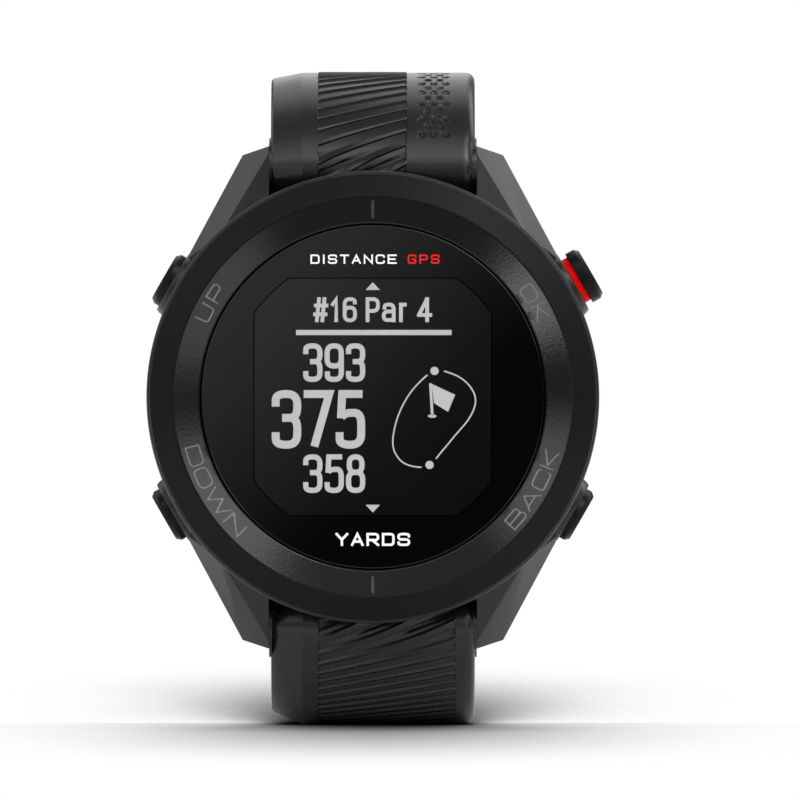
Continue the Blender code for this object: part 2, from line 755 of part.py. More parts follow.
def at_station(station, end, ahead=0.0, depth=0.0):
    """A frame on the strap: local X across, local Y along it, local Z out of its outer face."""
    y, z = point_on(station, ahead, depth)
    lean = station[3]
    along = Vector((0, end * math.cos(lean), -math.sin(lean)))
    out = Vector((0, end * math.sin(lean), math.cos(lean)))
    across = along.cross(out)
    frame = Matrix((across, along, out)).transposed().to_4x4()
    return Matrix.Translation((0, end * y, z)) @ frame


def station_near(stations, travelled):
    """The station at an arc length, interpolated between its neighbours."""
    for before, after in zip(stations, stations[1:]):
        if before[0] <= travelled <= after[0]:
            share = (travelled - before[0]) / (after[0] - before[0])
            return tuple(a + (b - a) * share for a, b in zip(before, after))
    return stations[-1]


def root_boss(end):
    """The thick end that wraps the bar."""
    boss = along_x(rod(ROOT_RADIUS, -ROOT_HALF_WIDTH, ROOT_HALF_WIDTH, 28))
    return moved(boss, Matrix.Translation((0, end * BAR_Y, BAR_HEIGHT)))


def bar_bore(end, half_length):
    bore = along_x(rod(BAR_RADIUS + 0.1 * MM, -half_length, half_length, 14))
    return moved(bore, Matrix.Translation((0, end * BAR_Y, BAR_HEIGHT)))


def release_window(end):
    """The opening under the root where the quick-release knob is reached."""
    outline = rounded(4.2 * MM, 1.8 * MM, 0.5 * MM, 2)
    return slab(outline, BAR_HEIGHT - 5 * MM, BAR_HEIGHT + 0.13 * MM, (-6.9 * MM, end * BAR_Y))


def build_strap_half(name, end, legs, tapered_tip, look):
    stations = strap_path(legs)
    strap = place(name, strap_band(stations, end, tapered_tip), look["silicone"])
    combine(strap, "UNION", helper(f"{name}_root", root_boss(end)))
    combine(strap, "DIFFERENCE", helper(f"{name}_release_window", release_window(end)))
    combine(strap, "DIFFERENCE", helper(f"{name}_bar_bore", bar_bore(end, 11 * MM)))
    return strap, stations


def build_spring_bar(prefix, end, look):
    """A quick-release bar: a tube with one fixed pin, a sliding pin with a knob, and its spring."""
    at = (0, end * BAR_Y, BAR_HEIGHT)
    bore = PIN_RADIUS + 0.08 * MM
    tip = STRAP_GAP / 2 + 0.9 * MM
    profile = (
        (bore, -BAR_HALF_LENGTH),
        (BAR_RADIUS, -BAR_HALF_LENGTH),
        (BAR_RADIUS, BAR_HALF_LENGTH),
        (PIN_RADIUS, BAR_HALF_LENGTH),
        (PIN_RADIUS, tip),
        (0, tip),
        (0, 0),
        (bore, 0),
    )
    bm = bmesh.new()
    verts = [bm.verts.new((radius, 0, height)) for radius, height in profile]
    edges = [bm.edges.new((verts[i], verts[(i + 1) % len(verts)])) for i in range(len(verts)) if i != 5]
    bmesh.ops.spin(
        bm, geom=verts + edges, cent=(0, 0, 0), axis=(0, 0, 1), angle=TAU, steps=12, use_merge=True
    )
    bmesh.ops.remove_doubles(bm, verts=bm.verts, dist=1e-7)
    tube = place(f"{prefix}_bar_tube", along_x(finished(bm)), look["steel"], at)
    slot = slab(rounded(3.4 * MM, 1.1 * MM, 0.3 * MM, 2), -2 * MM, 0, (-6.9 * MM, 0))
    combine(tube, "DIFFERENCE", helper(f"{prefix}_bar_slot", slot, at))

    pin_end = -4.8 * MM
    pin = place(f"{prefix}_release_pin", along_x(rod(PIN_RADIUS, -tip, pin_end, 12)), look["steel"], at)
    knob = moved(rod(0.42 * MM, -3.3 * MM, -0.1 * MM, 12), Matrix.Translation((-7.7 * MM, 0, 0)))
    combine(pin, "UNION", helper(f"{prefix}_release_knob", knob, at))

    turns, wire = 4, 0.07 * MM
    steps = turns * 8
    coil = bpy.data.curves.new(f"{prefix}_coil", "CURVE")
    coil.dimensions = "3D"
    coil.bevel_depth = wire
    coil.bevel_resolution = 0
    coil.use_fill_caps = True
    spline = coil.splines.new("POLY")
    spline.points.add(steps)
    start, finish = pin_end + 0.2 * MM, -0.2 * MM
    for i, point in enumerate(spline.points):
        angle = TAU * turns * i / steps
        x = start + (finish - start) * i / steps
        point.co = (x, 0.3 * MM * math.cos(angle), 0.3 * MM * math.sin(angle), 1)
    spring = bpy.data.objects.new(f"{prefix}_bar_spring", coil)
    bpy.context.scene.collection.objects.link(spring)
    spring.parent = bpy.data.objects["standing_pose"]
    spring.location = at
    coil.materials.append(look["steel"])


def build_upper_strap(look):
    strap, stations = build_strap_half("strap_upper", 1, upper_legs(), False, look)
    bar_frame = at_station(stations[-1], 1, 0.45 * MM, STRAP_THICKNESS / 2)
    boss = along_x(rod(BUCKLE_BOSS_RADIUS, -9.6 * MM, 9.6 * MM, 20))
    combine(strap, "UNION", helper("buckle_boss", moved(boss, bar_frame)))
    eye = along_x(rod(BAR_RADIUS + 0.1 * MM, -11 * MM, 11 * MM, 14))
    combine(strap, "DIFFERENCE", helper("buckle_bar_bore", moved(eye, bar_frame)))
    notch = slab(rounded(2 * TONGUE_NOTCH, 10 * MM, 0.8 * MM), -4 * MM, 4 * MM, (0, 2.6 * MM))
    combine(strap, "DIFFERENCE", helper("tongue_notch", moved(notch, bar_frame)))
    build_buckle(bar_frame, look)
    build_keepers(stations, look)


def build_lower_strap(look):
    strap, stations = build_strap_half("strap_lower", -1, lower_legs(), True, look)
    slots = []
    for number in range(SLOT_COUNT):
        station = station_near(stations, SLOT_START + number * SLOT_PITCH)
        slot = slab(rounded(SLOT_WIDTH, SLOT_HEIGHT, SLOT_HEIGHT / 2 - TOUCH, 2), -4 * MM, 2 * MM)
        slots.append(moved(slot, at_station(station, -1)))
    combine(strap, "DIFFERENCE", helper("adjusting_slots", joined(slots)))


def build_buckle(bar_frame, look):
    """Frame, tongue and bar, each in its own local frame with X along the bar."""
    near, inside = -1.7 * MM, BUCKLE_REACH - CROSSBAR_DEPTH
    corner = 1.4 * MM
    wide, narrow = BUCKLE_HALF_WIDTH, BUCKLE_INSIDE
    outline = [
        (-wide, near),
        (-narrow, near),
        (-narrow, inside),
        (narrow, inside),
        (narrow, near),
        (wide, near),
        (wide, BUCKLE_REACH - corner),
        (wide - corner, BUCKLE_REACH),
        (corner - wide, BUCKLE_REACH),
        (-wide, BUCKLE_REACH - corner),
    ]
    location = bar_frame.to_translation()
    turn = bar_frame.to_3x3()
    frame = place("buckle_frame", slab(outline, -1.1 * MM, 0.9 * MM), look["buckle"], location, turn)
    sockets = along_x(rod(LUG_HOLE_RADIUS, -11.4 * MM, 11.4 * MM))
    combine(frame, "DIFFERENCE", helper("buckle_sockets", sockets, location, turn))

    eye = 1.55 * MM
    side = [(eye * math.cos(a), eye * math.sin(a)) for a in arc_angles(100, 330, 9)]
    side += [(3.2 * MM, 0.6 * MM), (5.0 * MM, 1.0 * MM), (10.3 * MM, 1.0 * MM), (10.8 * MM, 1.3 * MM)]
    side += [(10.3 * MM, 1.85 * MM), (4.5 * MM, 1.85 * MM), (1.5 * MM, 1.6 * MM)]
    half = TONGUE_WIDTH / 2
    blade = loft([[(x, y, z) for y, z in side] for x in (-half, half)])
    tongue = place("buckle_tongue", blade, look["buckle"], location, turn)
    bore = along_x(rod(BAR_RADIUS + 0.1 * MM, -5 * MM, 5 * MM, 14))
    combine(tongue, "DIFFERENCE", helper("tongue_bore", bore, location, turn))

    tip, shoulder = 11.2 * MM, 10.1 * MM
    profile = (
        (0, -tip),
        (PIN_RADIUS, -tip),
        (PIN_RADIUS, -shoulder),
        (BAR_RADIUS, -shoulder),
        (BAR_RADIUS, shoulder),
        (PIN_RADIUS, shoulder),
        (PIN_RADIUS, tip),
        (0, tip),
    )
    place("buckle_bar", along_x(lathe(profile, 12)), look["steel"], location, turn)


def build_keepers(stations, look):
    """Two loops round the strap, with room above it for the tail."""
    length = stations[-1][0]
    bend_start = length - UPPER_END - UPPER_BEND * math.pi / 2
    spots = {
        "fixed_keeper": length - FIXED_KEEPER_FROM_BAR,
        "free_keeper": bend_start + UPPER_BEND * FREE_KEEPER_ANGLE,
    }
    slack = 0.3 * MM
    inside_width = 2 * STRAP_HALF_WIDTH + 2 * slack
    inside_height = STRAP_THICKNESS + KEEPER_ROOM + slack
    middle = (KEEPER_ROOM - STRAP_THICKNESS - slack) / 2
    for name, travelled in spots.items():
        inner = rounded(inside_width, inside_height, 0.9 * MM, 3)
        outer = rounded(inside_width + 2 * KEEPER_WALL, inside_height + 2 * KEEPER_WALL, 1.6 * MM, 3)
        front, back = KEEPER_LENGTH / 2, -KEEPER_LENGTH / 2
        rings = [[(x, y, z + middle) for x, z in outline] for outline, y in (
            (outer, back), (outer, front), (inner, front), (inner, back))]
        frame = at_station(station_near(stations, travelled), 1)
        place(name, loft(rings, loop=True), look["silicone"], frame.to_translation(), frame.to_3x3())


# ---------------------------------------------------------------- assembly

def main():
    clear_scene()
    pose = bpy.data.objects.new("standing_pose", None)
    bpy.context.scene.collection.objects.link(pose)
    pose.rotation_euler = (math.pi / 2, 0, 0)

    look = finishes()
    build_mid_case(look)
    build_bezel(look)
    build_lens(look)
    build_display(look)
    build_electronics(look)
    build_case_back(look)
    for name, angle in BUTTON_ANGLES.items():
        build_button(name, angle, look)
    for prefix, end in (("upper", 1), ("lower", -1)):
        build_spring_bar(prefix, end, look)
    build_upper_strap(look)
    build_lower_strap(look)


main()
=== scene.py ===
import bisect
import json
import math
from functools import partial

import bmesh
import bpy
from mathutils import Matrix, Vector


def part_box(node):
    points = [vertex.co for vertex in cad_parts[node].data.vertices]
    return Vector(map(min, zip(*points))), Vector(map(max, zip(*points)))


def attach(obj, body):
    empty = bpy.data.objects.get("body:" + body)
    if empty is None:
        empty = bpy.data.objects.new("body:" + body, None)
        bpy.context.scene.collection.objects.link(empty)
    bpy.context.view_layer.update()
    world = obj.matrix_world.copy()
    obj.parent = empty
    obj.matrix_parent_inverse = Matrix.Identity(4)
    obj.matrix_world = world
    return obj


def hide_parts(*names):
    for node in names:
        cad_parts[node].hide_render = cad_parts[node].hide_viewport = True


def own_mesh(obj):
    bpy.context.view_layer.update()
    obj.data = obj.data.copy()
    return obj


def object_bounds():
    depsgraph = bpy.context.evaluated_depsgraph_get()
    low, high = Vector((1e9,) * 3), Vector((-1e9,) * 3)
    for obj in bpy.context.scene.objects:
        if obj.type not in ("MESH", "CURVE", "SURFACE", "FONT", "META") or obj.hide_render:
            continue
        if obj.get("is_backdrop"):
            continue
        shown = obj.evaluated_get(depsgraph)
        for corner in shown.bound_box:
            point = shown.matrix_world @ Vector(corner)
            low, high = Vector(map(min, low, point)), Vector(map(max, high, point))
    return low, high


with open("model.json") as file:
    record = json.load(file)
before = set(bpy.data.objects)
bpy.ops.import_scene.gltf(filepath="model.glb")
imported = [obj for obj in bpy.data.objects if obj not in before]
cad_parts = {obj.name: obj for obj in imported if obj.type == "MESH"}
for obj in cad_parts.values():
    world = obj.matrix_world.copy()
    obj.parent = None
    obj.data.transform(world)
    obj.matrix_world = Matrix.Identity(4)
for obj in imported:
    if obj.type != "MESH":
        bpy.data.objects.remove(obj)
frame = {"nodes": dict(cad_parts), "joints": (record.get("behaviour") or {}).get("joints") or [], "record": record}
cad_low, cad_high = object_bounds()

# Shapes are drawn in the dial frame, face up: +X towards 3 o'clock, +Y towards 12 o'clock and
# +Z out of the glass. TO_ROW tips them upright into the row frame.
TO_ROW = Matrix.Rotation(math.pi / 2, 4, "X")
MM = 0.001
TAU = 2 * math.pi
JOINTS = {joint["name"]: joint for joint in frame["joints"]}


def dial_box(node):
    """A CAD node's lowest and highest corners, in the dial frame."""
    low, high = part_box(node)
    return Vector((low.x, low.z, -high.y)), Vector((high.x, high.z, -low.y))


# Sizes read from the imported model
CASE_RADIUS = dial_box("mid_case")[1].x
BEZEL_RADIUS = dial_box("bezel")[1].x
BEZEL_BACK = dial_box("bezel")[0].z
CASE_TOP = dial_box("bezel")[1].z
LENS_RADIUS = dial_box("lens")[1].x
LENS_BACK = dial_box("lens")[0].z
LENS_FRONT = dial_box("lens")[1].z
COVER_RADIUS = dial_box("back_cover")[1].x
BAR_Y = JOINTS["upper_strap_hinge"]["pos_m"][2]
BAR_HEIGHT = -JOINTS["upper_strap_hinge"]["pos_m"][1]
STRAP_HALF_WIDTH = dial_box("strap_upper")[1].x
BUTTON_HEIGHT = (dial_box("ok_button")[0].z + dial_box("ok_button")[1].z) / 2

# Case
STRAP_GAP = 20.08 * MM
FLANGE_FRONT = 9.1 * MM
CAVITY_RADIUS = 16.9 * MM
RECESS_RADIUS = 17.75 * MM
GASKET_LEDGE = 1.75 * MM
BUTTON_ANGLES = {"ok": 30, "up": 150, "down": 210, "back": 330}
COLLAR_FACE = 22.35 * MM
COLLAR_RADIUS = 3.25 * MM
COLLAR_RECESS = 21.4 * MM
HEAD_RADIUS = 2.7 * MM
# How far out each head's face lies, and how thick the head is
BUTTON_FACE, HEAD_THICKNESS = 23.3 * MM, 1.2 * MM
OK_FACE, OK_THICKNESS = 24.3 * MM, 1.3 * MM
RED_RING_START = 22.05 * MM
STEM_RADIUS = 1.0 * MM
OK_COLLAR_RADIUS = 2.35 * MM
SCREW_CIRCLE = 15.3 * MM
SCREW_ANGLES = (45, 135, 225, 315)
SCREW_SEAT = 0.85 * MM
SCREW_HEAD_RADIUS = 1.2 * MM
COVER_THICKNESS = 1.3 * MM
PORT_Y = -11.0 * MM

# Bezel and display
RIDGE_RADIUS = 19.33 * MM
BEZEL_HOLE = LENS_RADIUS + 0.07 * MM
RING_INNER_HEIGHT = 11.05 * MM
LEGEND_RADIUS = 18.08 * MM
LEGEND_HEIGHT = 1.47 * MM
LEGEND_STROKE = 0.16 * MM
LEGEND_CURVE = 0.24
ENGRAVING = 0.09 * MM
# Each legend's text, angle, letter width and gap, and whether the letters' tops point outwards
LEGENDS = (("UP", 150, 1.64 * MM, 0.52 * MM, True), ("OK", 30.3, 1.72 * MM, 0.44 * MM, True),
           ("DOWN", 210.6, 2.04 * MM, 0.22 * MM, False), ("BACK", 330, 1.93 * MM, 0.28 * MM, False))
WINDOW_HALF = 11.4 * MM
WINDOW_CORNER_RADIUS = 13.95 * MM
# Lines of text in millimetres: centre x and y, letter height, width and gap, stroke, and how round
# the letters' corners are. All of it is generic: sample distances, and plain words for the title.
SCREEN_TEXT = (("#16 Par 4", 0.0, 8.4, 2.4, 1.36, 0.22, 0.36, 0.5),
               ("393", -3.72, 3.3, 3.73, 1.86, 0.2, 0.50, 0.5),
               ("375", -5.24, -2.17, 5.65, 2.84, 0.24, 0.76, 0.5),
               ("358", -3.72, -7.4, 3.73, 1.86, 0.2, 0.50, 0.5))
LENS_TEXT = (("title_print", "white_print", ("DISTANCE", -1.85, 13.27, 0.9, 0.88, 0.27, 0.155, 0.3)),
             ("title_accent_print", "red_print", ("GPS", 4.9, 13.27, 0.9, 0.84, 0.28, 0.155, 0.3)),
             ("unit_print", "white_print", ("YARDS", 0.0, -13.74, 1.25, 1.22, 0.27, 0.225, 0.3)))
# The sketch of the green, in millimetres
GREEN = ((5.95, 2.5), (7.7, 2.2), (8.95, 1.45), (9.75, 0.35), (9.85, -0.8), (9.2, -2.2), (7.9, -3.75),
         (6.7, -5.2), (5.47, -6.56), (4.2, -6.75), (2.75, -6.2), (1.95, -4.75), (2.2, -2.6), (3.0, -0.6),
         (4.2, 1.1))
GREEN_DOTS = ((5.95, 2.5), (5.47, -6.56))
GREEN_DOT_GAP = 0.75
FLAG = ((5.66, 1.25), (7.93, 0.2), (7.25, -1.45), (5.9, -0.6))
FLAG_POLE = ((5.42, 1.3), (5.68, 1.3), (5.86, -1.75), (5.6, -1.75))

# Strap
ROOT_RADIUS = 3.1 * MM
ROOT_LEAN = math.radians(25)
ROOT_HALF_WIDTH = 9.86 * MM
ROOT_WRAP = math.radians(150)
ROOT_CORE_RADIUS = 2.75 * MM
ROOT_THICKNESS = 3.2 * MM
STRAP_THICKNESS = 2.4 * MM
FACET_WIDTH = 3.0 * MM
FACET_DROP = {1: 0.6 * MM, -1: 1.25 * MM}
SHOULDER_BEND = 14.4 * MM
# Each half's legs after the shoulder, as (length, radius), where a straight leg has radius 0
UPPER_BEND = 27.0 * MM
UPPER_END = 8.0 * MM
UPPER_LEGS_AFTER = ((8.0 * MM, 0), (UPPER_BEND * math.pi / 2, UPPER_BEND), (UPPER_END, 0))
LOWER_LEGS_AFTER = ((22.0 * MM, 0), (80.0 * MM, 75.0 * MM))
THINNING_LENGTH = 16 * MM
TIP_LENGTH, TIP_EDGE = 8 * MM, 1.2 * MM
RIB_PITCH = {1: 1.40 * MM, -1: 1.09 * MM}
RIB_SLOPE = {1: 0.33, -1: -0.25}
RIB_HEIGHT = {1: 0.2 * MM, -1: 0.22 * MM}
RIB_FLOOR = 0.12 * MM
# Where a ridge peaks and where it has died out, in pitches
RIB_EDGES = {1: (0.06, 0.38), -1: (0.14, 0.5)}
HOLLOW_DEPTH = {1: 0.5 * MM, -1: 0.3 * MM}
# How the ridges curve up near the bar, and where they lose their slant
SWEEP_START = 4.0 * MM
SWEEP_LIMIT = 6.0 * MM
SWEEP = {1: 0.039 / MM, -1: 0.042 / MM}
UNSLANTED = 2.7 * MM
RIB_BAND = {1: (-5.35 * MM, 3.3 * MM), -1: (-5.35 * MM, 8.0 * MM)}
DIMPLE_LEFT, DIMPLE_START = 4.75 * MM, 2.4 * MM
DIMPLE_PITCH, DIMPLE_RADIUS, DIMPLE_DEPTH = 1.15 * MM, 0.42 * MM, 0.22 * MM
DIMPLE_ROWS, DIMPLE_ROW_PITCH = 17, 0.87
SLOT_COUNT = 14
SLOT_PITCH = 6.2 * MM
SLOT_START = 14.8 * MM
SLOT_SIZE = (6.4 * MM, 2.0 * MM)
BAR_RADIUS = 0.75 * MM
BAR_BORE = BAR_RADIUS + 0.1 * MM
BAR_BORE_REACH = 11 * MM
SPRING_WIRE = 0.07 * MM
BUCKLE_INSIDE = 10.3 * MM
BUCKLE_HALF_WIDTH = 12.0 * MM
BUCKLE_REACH = 9.6 * MM
CROSSBAR_DEPTH = 1.8 * MM
TONGUE_HALF = 2.8 * MM
KEEPER_LENGTH = 5.5 * MM
KEEPER_WALL = 1.2 * MM
KEEPER_ROOM = 2.9 * MM
KEEPER_EDGE = 0.45 * MM
FREE_KEEPER_ANGLE = math.radians(60)


# ---------------------------------------------------------------- shapes

def finished(bm, name="shape"):
    bmesh.ops.recalc_face_normals(bm, faces=bm.faces)
    mesh = bpy.data.meshes.new(name)
    bm.to_mesh(mesh)
    bm.free()
    return mesh


def moved(mesh, matrix):
    mesh.transform(matrix)
    return mesh


def joined(meshes):
    bm = bmesh.new()
    for mesh in meshes:
        bm.from_mesh(mesh)
    return finished(bm)


def filleted(points, radius, closed=False, steps=4, keep=()):
    """The corners of a line of points rounded off. keep lists the corners that stay sharp."""
    points = [Vector(point) for point in points]
    count = len(points)
    made = []
    for i, corner in enumerate(points):
        if i in keep or (not closed and i in (0, count - 1)):
            made.append(corner)
            continue
        before, after = points[i - 1] - corner, points[(i + 1) % count] - corner
        cut_before = min(radius, 0.48 * before.length)
        cut_after = min(radius, 0.48 * after.length)
        start = corner + before.normalized() * cut_before
        end = corner + after.normalized() * cut_after
        for step in range(steps + 1):
            t = step / steps
            made.append(start * (1 - t) ** 2 + corner * 2 * t * (1 - t) + end * t * t)
    return made


def lathe(profile, segments=160):
    """Turns (radius, height) points about Z. A profile that misses the axis is closed into a ring."""
    ring = all(point[0] > 1e-7 for point in profile)
    bm = bmesh.new()
    rows = []
    for point in profile:
        if point[0] <= 1e-7:
            rows.append([bm.verts.new((0, 0, point[1]))])
            continue
        rows.append([bm.verts.new((point[0] * math.cos(angle), point[0] * math.sin(angle), point[1]))
                     for angle in (TAU * i / segments for i in range(segments))])
    pairs = list(zip(rows, rows[1:]))
    if ring:
        pairs.append((rows[-1], rows[0]))
    for low, high in pairs:
        for i in range(segments):
            j = (i + 1) % segments
            corners = [low[i % len(low)], low[j % len(low)], high[j % len(high)], high[i % len(high)]]
            bm.faces.new(list(dict.fromkeys(corners)))
    return finished(bm)


def rod(radius, start, end, segments=32, edge=0.0):
    outline = [(0, start), (radius, start), (radius, end), (0, end)]
    return lathe(filleted(outline, edge, steps=3) if edge else outline, segments)


def loft(rings, loop=False):
    bm = bmesh.new()
    rows = [[bm.verts.new(point) for point in ring] for ring in rings]
    pairs = list(zip(rows, rows[1:]))
    if loop:
        pairs.append((rows[-1], rows[0]))
    else:
        bm.faces.new(reversed(rows[0]))
        bm.faces.new(rows[-1])
    count = len(rows[0])
    for low, high in pairs:
        for i in range(count):
            j = (i + 1) % count
            bm.faces.new((low[i], low[j], high[j], high[i]))
    return finished(bm)


def hull(points):
    bm = bmesh.new()
    for point in points:
        bm.verts.new(point)
    found = bmesh.ops.convex_hull(bm, input=bm.verts)
    bmesh.ops.delete(bm, geom=found["geom_interior"], context="VERTS")
    return finished(bm)


def rounded(width, height, radius, steps=6):
    points = []
    for quarter, (sx, sy) in enumerate(((1, 1), (-1, 1), (-1, -1), (1, -1))):
        for step in range(steps + 1):
            angle = math.pi / 2 * (quarter + step / steps)
            points.append((sx * (width / 2 - radius) + radius * math.cos(angle),
                           sy * (height / 2 - radius) + radius * math.sin(angle)))
    return points


def stacked(levels, centre=(0, 0), loop=False):
    """A solid through flat outlines, given as (outline, height)."""
    return loft([[(centre[0] + x, centre[1] + y, z) for x, y in outline] for outline, z in levels], loop)


def slab(outline, bottom, top, centre=(0, 0)):
    return stacked([(outline, bottom), (outline, top)], centre)


def along_x(mesh):
    return moved(mesh, Matrix.Rotation(math.pi / 2, 4, "Y"))


def shifted(mesh, offset):
    return moved(mesh, Matrix.Translation(offset))


def cross_rod(place, radius, start, end, segments=40):
    """A rod along the local X of a place, which is how every bar lies."""
    return moved(along_x(rod(radius, start, end, segments)), place)


def bar_place(end, back=0.0, down=0.0):
    return Matrix.Translation((0, end * (BAR_Y - back), BAR_HEIGHT - down))


def around(angle, radius, height=0.0):
    angle = math.radians(angle)
    return Vector((radius * math.cos(angle), radius * math.sin(angle), height))


def outward(angle):
    """Turns local +Z to point out of the case at that angle, at the height of the buttons."""
    turn = Matrix.Rotation(math.radians(angle), 4, "Z") @ Matrix.Rotation(math.pi / 2, 4, "Y")
    return Matrix.Translation((0, 0, BUTTON_HEIGHT)) @ turn


def on_circle(shape, angles, radius):
    copies = []
    for angle in angles:
        turn = Matrix.Rotation(math.radians(angle), 4, "Z")
        copies.append(moved(shape.copy(), Matrix.Translation(around(angle, radius)) @ turn))
    return joined(copies)


def on_button_axes(shape):
    return joined([moved(shape.copy(), outward(angle)) for angle in BUTTON_ANGLES.values()])


def window_outline(margin=0.0):
    half = WINDOW_HALF + margin
    radius = WINDOW_CORNER_RADIUS + margin
    start = math.acos(half / radius)
    sweep = math.pi / 2 - 2 * start
    steps = 10
    return [around(math.degrees(quarter * math.pi / 2 + start + sweep * step / steps), radius).xy
            for quarter in range(4) for step in range(steps + 1)]


# ---------------------------------------------------------------- pieces

def piece(name, mesh, body, finish, replaces=()):
    """A finished piece, tipped into the row frame and set on its body."""
    mesh.transform(TO_ROW)
    mesh.name = name
    obj = bpy.data.objects.new(name, mesh)
    bpy.context.scene.collection.objects.link(obj)
    mesh.materials.append(LOOK[finish])
    crisp(obj)
    weigh_normals(obj)
    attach(obj, body)
    if replaces:
        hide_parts(*replaces)
    return obj


def cut(obj, mesh, operation="DIFFERENCE", finish=None, solver="EXACT"):
    """Applies one Boolean, so that no cutter is left in the scene."""
    mesh.transform(TO_ROW)
    other = bpy.data.objects.new("cutter", mesh)
    bpy.context.scene.collection.objects.link(other)
    obj.modifiers.clear()
    modifier = obj.modifiers.new("cut", "BOOLEAN")
    modifier.operation = operation
    modifier.solver = solver
    modifier.object = other
    if finish:
        mesh.materials.append(LOOK[finish])
        modifier.material_mode = "TRANSFER"
    bpy.context.view_layer.update()
    graph = bpy.context.evaluated_depsgraph_get()
    result = bpy.data.meshes.new_from_object(obj.evaluated_get(graph))
    obj.modifiers.remove(modifier)
    old = obj.data
    name = old.name
    obj.data = result
    bpy.data.meshes.remove(old)
    result.name = name
    bpy.data.objects.remove(other)
    bpy.data.meshes.remove(mesh)
    weigh_normals(obj)


def weigh_normals(obj):
    """Keeps the shading of a large face flat beside a rounded edge."""
    obj.modifiers.new("flat_faces", "WEIGHTED_NORMAL").keep_sharp = True


def crisp(obj, angle=35):
    """Smooth shading that keeps the edges sharper than the angle."""
    obj.data.shade_smooth()
    obj.data.set_sharp_from_angle(angle=math.radians(angle))


# ---------------------------------------------------------------- finishes

def shader_of(name):
    made = bpy.data.materials.new(name)
    made.use_nodes = True
    return made, made.node_tree, made.node_tree.nodes["Principled BSDF"]


def add_node(tree, kind, inputs, **settings):
    """A shader node. inputs maps each socket to its value, or to the output that feeds it."""
    made = tree.nodes.new("ShaderNode" + kind)
    for name, value in settings.items():
        setattr(made, name, value)
    for socket, value in inputs.items():
        if isinstance(value, bpy.types.NodeSocket):
            tree.links.new(value, made.inputs[socket])
        else:
            made.inputs[socket].default_value = value
    return made


def noise(tree, scale, detail=2.0, roughness=0.5, stretch=None):
    source = add_node(tree, "TexCoord", {}).outputs["Object"]
    if stretch:
        source = add_node(tree, "Mapping", {"Vector": source, "Scale": stretch}).outputs["Vector"]
    return add_node(tree, "TexNoise", {"Vector": source, "Scale": scale, "Detail": detail,
                                       "Roughness": roughness}).outputs["Fac"]


def ranged(tree, source, low, high, start=0.3, end=0.7, **settings):
    """Carries the source's range from start to end over to low to high."""
    return add_node(tree, "MapRange", {"Value": source, "From Min": start, "From Max": end,
                                       "To Min": low, "To Max": high}, **settings).outputs["Result"]


def maths(tree, operation, first, second=0.0):
    return add_node(tree, "Math", {0: first, 1: second}, operation=operation).outputs["Value"]


def mixed(tree, source, dark, light):
    """A colour between dark and light, over the middle of the source's range."""
    ramp = add_node(tree, "ValToRGB", {"Fac": source})
    for element, position, colour in zip(ramp.color_ramp.elements, (0.3, 0.7), (dark, light)):
        element.position = position
        element.color = (*colour, 1)
    return ramp.outputs["Color"]


def blended(tree, factor, first, second):
    """A mix of two colours. They are sockets 6 and 7 of the node, and its output 2 is their mix."""
    return add_node(tree, "Mix", {"Factor": factor, 6: first, 7: second}, data_type="RGBA").outputs[2]


def surface(name, colour, roughness, metallic=0.0, specular=0.5, grain=6000, depth=0.01, spread=0.12,
            edge=0.0, stretch=None):
    """A finish with a fine grain in its colour, gloss and relief.

    grain is the noise's scale, depth its relief in millimetres and spread its share of the colour.
    edge rounds the corners' shading, in metres.
    """
    made, tree, shader = shader_of(name)
    fine = noise(tree, grain, 3.0, 0.6, stretch)
    dark = tuple(channel * (1 - spread) for channel in colour)
    light = tuple(min(1.0, channel * (1 + spread)) for channel in colour)
    shader.inputs["Metallic"].default_value = metallic
    shader.inputs["Specular IOR Level"].default_value = specular
    relief = {"Strength": 1.0, "Distance": depth * MM, "Height": fine}
    if edge:
        relief["Normal"] = add_node(tree, "Bevel", {"Radius": edge}, samples=4).outputs["Normal"]
    for socket, source in (
        ("Base Color", mixed(tree, noise(tree, 220), dark, light)),
        ("Roughness", ranged(tree, fine, roughness * 0.88, min(1.0, roughness * 1.12))),
        ("Normal", add_node(tree, "Bump", relief).outputs["Normal"]),
    ):
        tree.links.new(source, shader.inputs[socket])
    return made


def glow_print(name, colour, roughness=0.5):
    """Ink or lit pixels: a matt pale colour with a faint dot grain."""
    return surface(name, colour, roughness, grain=9000, depth=0.0, spread=0.04, specular=0.2)


